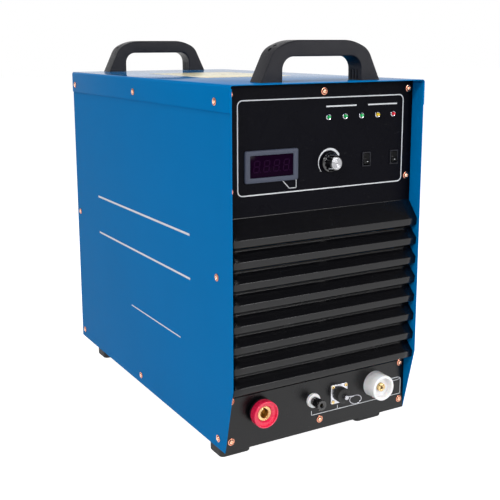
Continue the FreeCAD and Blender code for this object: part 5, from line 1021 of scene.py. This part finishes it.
def connector():
    """A flange that runs from a rounded square to its round barrel, its pins and screws, and the dust cap."""
    x, z = PLUG
    outline = rounded_box(x, z, 30, 30, 3)
    rows = [(outline, 23.0), (outline, 21.6), (inset(outline, 0.25), 21.15), (inset(outline, 0.6), 21.0)]
    barrel = ((9, 21), (9, 14.9), (8.7, 14.5), (7.7, 14.5), (7.7, 23))
    rows += [(round_loop(x, z, radius), y) for radius, y in barrel]
    piece("connector_plate", [ring_of(*zip(*rows))], "flange_plate", nodes=["connector_flange"])
    points, quads, caps = screw_head(2.6, 24)
    flat = (points * (1.0, 0.54, 1.0), quads, caps)
    corners = [(a, b) for a in (-11.5, 11.5) for b in (-11.5, 11.5)]
    heads = [moved(spun(flat, "Y", 31 * k), (x + a, 21.0, z + b)) for k, (a, b) in enumerate(corners)]
    piece("connector_screws", heads, "brass")
    insert = [lathe([(0, 17.9), (7.5, 17.9), (7.5, 20.9), (0, 20.9)], x, z)]
    insert += [lathe([(0, 15.5), (0.7, 15.5), (0.9, 15.8), (0.9, 18), (0, 18)], x + a, z + b, steps=16)
               for a in (-3, 3) for b in (-3, 3)]
    piece("connector_pins", insert, "black_plastic", nodes=["connector_insert"])
    cup = eased([(9.3, 20.6), (11.3, 20.6, 0.3), (11.5, 9.4, 0.9), (10.6, 8.4, 0.3), (4.6, 8.4, 0.5),
                 (4.2, 8.9, 0.2), (3.3, 8.9), (3.3, 10.6), (9.3, 10.6)], 5)
    piece("cap_cup", [lathe(cup, x, z, ring=True)], "rubber", body="cap", nodes=["dust_cap"])
    crimp = lathe([(0, 1.4), (3, 1.4), (3.4, 1.8), (3.6, 2.6), (3.6, 4.2), (2.9, 4.9), (2.9, 7), (3.2, 7.6),
                   (3.2, 10.5), (0, 10.5)], x, z, steps=40)
    t = circle(72)
    loop = np.stack([x + 17.2 + 10.6 * np.cos(t), 4.4 - 0.9 * np.sin(t),
                     z - 6.6 + 7.0 * np.sin(t) - 1.2 * np.cos(t)], 1)
    lead = [(2.2, 3.4, 0.9), (5, 3.5, 1.0), (9, 3.6, 0.4), (12.6, 3.6, -0.1)]
    sleeve = wire(1.4, np.array(lead) + (x, 0, z))
    piece("cap_wire", [crimp, sleeve, wire(0.65, loop, closed=True)], "chrome", body="cap",
          nodes=["dust_cap_ring"])


# The rear

def blade(x, angle):
    """One fan blade: an oval section set at a pitch, carried outwards and wrapped on cylinders."""
    root, tip, middle, front, back = 28.0, 55.2, 579.4, 568.5, 590.3
    s = np.linspace(root, tip, 12)[:, None]
    t = circle(28)
    pitch = np.radians(np.interp(s, (root, tip), (46.0, 34.0)))
    half, thin, camber = 13.2, 0.95, 0.56
    chord, thick = half * np.cos(t), thin * np.sin(t) + camber * np.sin(t) ** 2
    turn = (chord * np.cos(pitch) - thick * np.sin(pitch)) / s + math.radians(angle)
    y = middle + chord * np.sin(pitch) * 0.98 + thick * np.cos(pitch)
    return skin(np.stack([x + s * np.sin(turn), np.clip(y, front, back), FAN_Z + s * np.cos(turn)], -1))


def fans():
    """Square frames round a duct, four arms and a motor, bladed rotors, and rings on bent spokes."""
    frames, guards = [], []
    t = circle(96)
    bend = eased([(73.0, REAR_OUT), (73.0, 607.7, 1.6), (23.4, 607.7)], 6, closed=False)
    motor = [(0, 591.4), (29.2, 591.4), (30, 592.2), (30, 602.2), (29, 603.2), (20, 603.4), (19.6, 603.0),
             (0, 603.0)]
    side_length, bore, rings, ring_y = 119, 57, (58.1, 41.2, 24.3), 609.9
    hub = [(0, 568.4), (28.5, 568.4), (30, 569.9), (30, 589.6), (29.2, 590.4), (0, 590.4)]
    for side, x in FANS:
        square = rounded_box(x, FAN_Z, side_length, side_length, 6)
        duct, flare = [round_loop(x, FAN_Z, radius) for radius in (bore, bore + 0.6)]
        trim = inset(square, 0.6)
        frames.append(ring_of([trim, square, square, trim, flare, duct, duct, flare],
                              (565.4, 566.0, 602.8, 603.4, 603.4, 602.8, 566.0, 565.4)))
        frames.append(lathe(motor, x, FAN_Z))
        arm = block((x - 3.5, x + 3.5), (599.4, 603.3), (FAN_Z + 28, FAN_Z + 57.4), 0.6)
        frames += [spun(arm, "Y", 45 + 90 * k, (x, 0, FAN_Z)) for k in range(4)]
        rotor = [lathe(hub, x, FAN_Z)] + [blade(x, 60 * k) for k in range(6)]
        piece("rotor_" + side, rotor, "black_plastic", body=side + "_rotor", nodes=["fan_rotor_" + side])
        for radius in rings:
            path = np.stack([x + radius * np.cos(t), ring_y + 0 * t, FAN_Z + radius * np.sin(t)], 1)
            guards.append(wire(1.1, path, closed=True))
        spoke = np.stack([np.full(len(bend), x), bend[:, 1], FAN_Z + bend[:, 0]], 1)
        bent = wire(1.08, spoke, up=(1.0, 0.0, 0.0))
        guards += [spun(bent, "Y", 45 + 90 * k, (x, 0, FAN_Z)) for k in range(4)]
    piece("fan_housings", frames, "black_plastic", nodes=["fan_frames"])
    piece("guard_wires", guards, "chrome", nodes=["fan_guards"])


def breaker():
    """The body keeps its solid. The lever is a drum with an arm, drawn level and then tilted to its rest."""
    x, z = BREAKER
    dress("white_plastic", "breaker_body")
    t = np.linspace(math.radians(35), math.radians(325), 40)
    arm = eased([(6.9, -4.8), (19.4, -2.6, 1.6), (19.9, 2.5, 1.6), (6.9, 4.8)], 5, closed=False)
    outline = np.concatenate([8.4 * around(t), arm])
    half, reach = 19.9, 23
    lever = prism(outline + np.array((LEVER_Y, z)), x - half, x + half, "X", 0.6)
    pin = spun(lathe([(0, -reach), (1.5, -reach), (1.5, reach), (0, reach)], 0, 0, steps=24), "Z", 90)
    shapes = [spun(shape, "X", -40, (0, LEVER_Y, z)) for shape in (lever, moved(pin, (x, LEVER_Y, z)))]
    piece("lever_bar", shapes, "black_plastic", body="lever", nodes=["breaker_lever"])
    seams = [block((x + dx - 0.25, x + dx + 0.25), (613.96, 614.06), (z + a, z + b), 0.02)
             for dx in (-9.0, 9.0) for a, b in ((-22.3, -9.3), (9.3, 22.3))]
    piece("pole_seams", seams, "black_plastic")


def inlets():
    """The gland's ribbed dome with two nuts, the barbed air nipple, and the earth stud with its sign."""
    x, z = GLAND
    dome = eased([(14.0, 611.0), (14.0, 622.0, 2.0), (9.5, 629.0, 1.2), (7.5, 629.0, 0.6), (7.5, 591.5),
                  (12.0, 591.5), (12.0, 611.0)], 6)
    shapes = [fluted(dome, x, z, (24, 0.7, 2), (611.3, 0.8), (621.6, 1.0), least=13)]
    shapes += [hex_nut(x, z, 30, REAR_OUT, 610.9, 11.9), hex_nut(x, z, 30, 597.6, REAR_IN, 11.9)]
    piece("gland_body", shapes, "black_plastic", nodes=["mains_gland"])
    x, z = INLET
    barbs = [(3, 581.5), (6.4, 581.5), (6.4, 614.2), (5.2, 614.4), (5.2, 617), (6.45, 617.2), (5.2, 620.6),
             (6.45, 620.8), (5.2, 624.2), (6.45, 624.4), (5.2, 627.8), (6.45, 628), (4.8, 634.4), (4.2, 635),
             (3, 635)]
    shapes = [lathe(barbs, x, z, ring=True), hex_nut(x, z, 22, REAR_OUT, 614.0, 6.3)]
    piece("air_nipple_body", shapes, "brass", nodes=["air_inlet"])
    x, z = EARTH
    shapes = [thread(x, z, 593.6, 627.0, 3.98, 0.35, 1.25), hex_nut(x, z, 13, REAR_OUT, 611.0, 3.6),
              hex_nut(x, z, 13, 597.5, REAR_IN, 3.6)]
    piece("earth_bolt", shapes, "brass", nodes=["earth_stud"])
    bars = ((0, 21, 0, 14.5), (-5, 14.5, 5, 14.5), (-3.2, 12.2, 3.2, 12.2), (-1.4, 9.9, 1.4, 9.9))
    sign = [stroke((x + a, z + b), (x + c, z + d), 0.8, REAR_Y + PRINT) for a, b, c, d in bars]
    piece("earth_mark", sign, "ink")


PLAIN_FINISHES = {
    "blue_paint": ("side_panel_left", "side_panel_right"),
    "black_panel": ("control_panel", "rear_panel"),
    "louvre_paint": ("connector_panel",),
    "tray_metal": ("base_tray", "corner_posts", "top_rails"),
    "plated_steel": ("mid_shelf", "frame_bolts", "potentiometer"),
    "aluminium": ("heat_sink",),
    "black_plastic": ("insulating_blocks", "power_modules"),
    "ferrite": ("transformer_core",),
    "copper": ("transformer_winding", "output_choke"),
    "board": ("circuit_boards",),
    "display": ("bus_capacitors",),
    "brass": ("solenoid_valve",),
    "hose": ("air_hose",),
}


def plain_nodes():
    """Finishes for the pieces whose solids already have the right shape."""
    for finish, nodes in PLAIN_FINISHES.items():
        dress(finish, *nodes)


# The stage

WHITE = (1.0, 1.0, 1.0, 1.0)
FLOOR_GLOW = 0.86
# The ceiling's share of the room's light, and the heights between which it fades in.
CEILING = 0.05
CEILING_EDGE = (0.35, 0.65)
FLOOR_REACH = 14.0
LOOK_AT = (0.0, 0.0, 0.28)
# Name, place, side in metres and share of the key light's power.
STUDIO_LAMPS = (("key", (-2.2, -1.7, 2.2), 0.7, 1.25), ("top", (-0.7, -0.6, 3.1), 0.9, 1.0),
                ("front", (1.1, -3.05, 1.25), 0.8, 1.2))
CAMERA_PLACE = (-0.6890, -1.2812, 0.5879)
YAW, PITCH, ROLL = math.radians(30.05), math.radians(10.9), math.radians(-0.11)
SHIFT = -0.08


def any_ray(tree, path, *names):
    """One where the ray is any of the named kinds, otherwise nought."""
    found = path.outputs[names[0]]
    for name in names[1:]:
        found = maths(tree, "ADD", found, path.outputs[name], use_clamp=True)
    return found


def either(tree, amount, first, second):
    """The two shaders mixed by an amount."""
    mix = add(tree, "ShaderNodeMixShader", {"Fac": amount})
    tree.links.new(first, mix.inputs[1])
    tree.links.new(second, mix.inputs[2])
    return mix.outputs[0]


def floor_material(colour):
    """A pale floor that takes the shadow, and that the camera and mirrors see a little brighter."""
    made = bpy.data.materials.new("stage_floor")
    made.use_nodes = True
    tree = made.node_tree
    shader = tree.nodes["Principled BSDF"]
    for label, value in {"Base Color": (*colour, 1.0), "Roughness": 0.9, "Specular IOR Level": 0.1}.items():
        shader.inputs[label].default_value = value
    path = add(tree, "ShaderNodeLightPath")
    seen = any_ray(tree, path, "Is Camera Ray", "Is Glossy Ray", "Is Transmission Ray")
    glow = add(tree, "ShaderNodeEmission", {"Color": WHITE, "Strength": FLOOR_GLOW})
    both = add(tree, "ShaderNodeAddShader")
    tree.links.new(shader.outputs[0], both.inputs[0])
    tree.links.new(glow.outputs[0], both.inputs[1])
    tree.links.new(either(tree, seen, shader.outputs[0], both.outputs[0]),
                   tree.nodes["Material Output"].inputs["Surface"])
    return made


def room(strength):
    """Soft light from all round under a dim ceiling. Mirrors show white walls and the camera sees white."""
    world = bpy.data.worlds.new("room")
    bpy.context.scene.world = world
    world.use_nodes = True
    tree = world.node_tree
    where = add(tree, "ShaderNodeTexCoord").outputs["Generated"]
    height = add(tree, "ShaderNodeSeparateXYZ", {"Vector": where}).outputs["Z"]
    ceiling = clamp_range(tree, height, *CEILING_EDGE, 1.0, CEILING)
    path = add(tree, "ShaderNodeLightPath")
    mirrored = any_ray(tree, path, "Is Glossy Ray", "Is Transmission Ray")
    level = clamp_range(tree, mirrored, 0.0, 1.0, strength, 1.0)
    lit = tree.nodes["Background"]
    lit.inputs["Color"].default_value = WHITE
    tree.links.new(maths(tree, "MULTIPLY", ceiling, level), lit.inputs["Strength"])
    white = add(tree, "ShaderNodeBackground", {"Color": WHITE, "Strength": 1.0})
    tree.links.new(either(tree, path.outputs["Is Camera Ray"], lit.outputs[0], white.outputs[0]),
                   tree.nodes["World Output"].inputs["Surface"])


def lamp(name, place, side, power):
    """A square soft lamp that looks at the middle of the unit."""
    light = bpy.data.lights.new(name, "AREA")
    light.shape = "RECTANGLE"
    light.size, light.size_y = side, side
    light.energy = power
    obj = put(name, light)
    obj.location = place
    obj.rotation_euler = (Vector(LOOK_AT) - Vector(place)).to_track_quat("-Z", "Y").to_euler()


def stage():
    """The floor, the room's light, the lamps, and the camera turned from level by its yaw, pitch and roll."""
    look = bpy.context.scene.cutter_stage
    mesh = bpy.data.meshes.new("floor")
    corners = [(x * FLOOR_REACH, y * FLOOR_REACH, 0) for x, y in ((-1, -1), (1, -1), (1, 1), (-1, 1))]
    mesh.from_pydata(corners, [], [(0, 1, 2, 3)])
    mesh.materials.append(floor_material(look.floor))
    put("floor", mesh)
    room(look.world_light)
    for name, place, side, share in STUDIO_LAMPS:
        lamp(name, place, side, look.key_light * share)
    camera = put("camera", bpy.data.cameras.new("camera"))
    turn = Matrix.Rotation(-YAW, 4, "Z") @ Matrix.Rotation(math.pi / 2 - PITCH, 4, "X")
    camera.matrix_world = Matrix.Translation(CAMERA_PLACE) @ turn @ Matrix.Rotation(ROLL, 4, "Z")
    camera.data.lens = look.lens
    camera.data.shift_y = SHIFT
    camera.data.clip_start = 0.01
    bpy.context.scene.camera = camera
    bpy.context.scene.view_settings.view_transform = "Standard"


# Operators, one for each piece or group of like pieces

class CUTTER_OT_plain_nodes(bpy.types.Operator):
    """Give the panels, posts and inner pieces their finishes"""
    bl_idname = "cutter.plain_nodes"
    bl_label = "Panels and inner pieces"

    def execute(self, context):
        plain_nodes()
        return {"FINISHED"}


class CUTTER_OT_cover(bpy.types.Operator):
    """Make the bent top cover and the bars printed on the side"""
    bl_idname = "cutter.cover"
    bl_label = "Top cover"

    def execute(self, context):
        cover()
        side_bars()
        return {"FINISHED"}


class CUTTER_OT_louvres(bpy.types.Operator):
    """Make the folded louvres of the front"""
    bl_idname = "cutter.louvres"
    bl_label = "Louvres"

    def execute(self, context):
        louvres()
        return {"FINISHED"}


class CUTTER_OT_screws(bpy.types.Operator):
    """Make the washered case screws"""
    bl_idname = "cutter.screws"
    bl_label = "Case screws"

    def execute(self, context):
        screws()
        return {"FINISHED"}


class CUTTER_OT_handles(bpy.types.Operator):
    """Make the two carrying handles"""
    bl_idname = "cutter.handles"
    bl_label = "Handles"

    def execute(self, context):
        handles()
        return {"FINISHED"}


class CUTTER_OT_feet(bpy.types.Operator):
    """Make the four rubber feet"""
    bl_idname = "cutter.feet"
    bl_label = "Feet"

    def execute(self, context):
        feet()
        return {"FINISHED"}


class CUTTER_OT_panel_print(bpy.types.Operator):
    """Print the plain white lines on the front panels"""
    bl_idname = "cutter.panel_print"
    bl_label = "Panel print"

    def execute(self, context):
        panel_print()
        return {"FINISHED"}


class CUTTER_OT_meter(bpy.types.Operator):
    """Make the panel meter with its pane and unlit digits"""
    bl_idname = "cutter.meter"
    bl_label = "Meter"

    def execute(self, context):
        meter()
        return {"FINISHED"}


class CUTTER_OT_knob(bpy.types.Operator):
    """Make the current knob with its turned cap"""
    bl_idname = "cutter.knob"
    bl_label = "Current knob"

    def execute(self, context):
        knob()
        return {"FINISHED"}


class CUTTER_OT_switches(bpy.types.Operator):
    """Make the two rocker switches"""
    bl_idname = "cutter.switches"
    bl_label = "Rocker switches"

    def execute(self, context):
        switches()
        return {"FINISHED"}


class CUTTER_OT_lamps(bpy.types.Operator):
    """Make the five indicator lamps"""
    bl_idname = "cutter.lamps"
    bl_label = "Lamps"

    def execute(self, context):
        lamps()
        return {"FINISHED"}


class CUTTER_OT_work_socket(bpy.types.Operator):
    """Make the red work clamp socket"""
    bl_idname = "cutter.work_socket"
    bl_label = "Work clamp socket"

    def execute(self, context):
        work_socket()
        return {"FINISHED"}


class CUTTER_OT_torch_socket(bpy.types.Operator):
    """Make the white torch socket and its split contact"""
    bl_idname = "cutter.torch_socket"
    bl_label = "Torch socket"

    def execute(self, context):
        torch_socket()
        return {"FINISHED"}


class CUTTER_OT_pilot_post(bpy.types.Operator):
    """Make the pilot arc binding post"""
    bl_idname = "cutter.pilot_post"
    bl_label = "Binding post"

    def execute(self, context):
        pilot_post()
        return {"FINISHED"}


class CUTTER_OT_connector(bpy.types.Operator):
    """Make the control connector and its dust cap"""
    bl_idname = "cutter.connector"
    bl_label = "Control connector"

    def execute(self, context):
        connector()
        return {"FINISHED"}


class CUTTER_OT_fans(bpy.types.Operator):
    """Make the two fans and their wire guards"""
    bl_idname = "cutter.fans"
    bl_label = "Fans"

    def execute(self, context):
        fans()
        return {"FINISHED"}


class CUTTER_OT_breaker(bpy.types.Operator):
    """Make the breaker's lever and finish its body"""
    bl_idname = "cutter.breaker"
    bl_label = "Breaker"

    def execute(self, context):
        breaker()
        return {"FINISHED"}


class CUTTER_OT_inlets(bpy.types.Operator):
    """Make the mains gland, the air nipple and the earth stud"""
    bl_idname = "cutter.inlets"
    bl_label = "Rear inlets"

    def execute(self, context):
        inlets()
        return {"FINISHED"}


class CUTTER_OT_stage(bpy.types.Operator):
    """Set the floor, the lamps and the camera"""
    bl_idname = "cutter.stage"
    bl_label = "Stage"

    def execute(self, context):
        stage()
        return {"FINISHED"}


OPERATORS = (CUTTER_OT_plain_nodes, CUTTER_OT_cover, CUTTER_OT_louvres, CUTTER_OT_screws, CUTTER_OT_handles,
             CUTTER_OT_feet, CUTTER_OT_panel_print, CUTTER_OT_meter, CUTTER_OT_knob, CUTTER_OT_switches,
             CUTTER_OT_lamps, CUTTER_OT_work_socket, CUTTER_OT_torch_socket, CUTTER_OT_pilot_post,
             CUTTER_OT_connector, CUTTER_OT_fans, CUTTER_OT_breaker, CUTTER_OT_inlets, CUTTER_OT_stage)


class CUTTER_PT_pieces(bpy.types.Panel):
    """Lists the pieces of the unit with their colours and sizes"""
    bl_idname = "CUTTER_PT_pieces"
    bl_label = "Plasma cutter unit"
    bl_space_type = "VIEW_3D"
    bl_region_type = "UI"
    bl_category = "Cutter"

    def draw(self, context):
        layout = self.layout
        for group in (context.scene.cutter_colours, context.scene.cutter_sizes, context.scene.cutter_stage):
            box = layout.box()
            for name in group.__annotations__:
                box.prop(group, name)
        for operator in OPERATORS:
            layout.operator(operator.bl_idname)


GROUPS = {"cutter_colours": CutterColours, "cutter_sizes": CutterSizes, "cutter_stage": CutterStage}


def register():
    for cls in (*GROUPS.values(), *OPERATORS, CUTTER_PT_pieces):
        bpy.utils.register_class(cls)
    for name, cls in GROUPS.items():
        setattr(bpy.types.Scene, name, PointerProperty(type=cls))


def unregister():
    for name in GROUPS:
        delattr(bpy.types.Scene, name)
    for cls in (CUTTER_PT_pieces, *reversed(OPERATORS), *GROUPS.values()):
        bpy.utils.unregister_class(cls)


def main():
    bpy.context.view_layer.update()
    register()
    for operator in OPERATORS:
        group, name = operator.bl_idname.split(".")
        getattr(getattr(bpy.ops, group), name)()


if __name__ == "__main__":
    main()
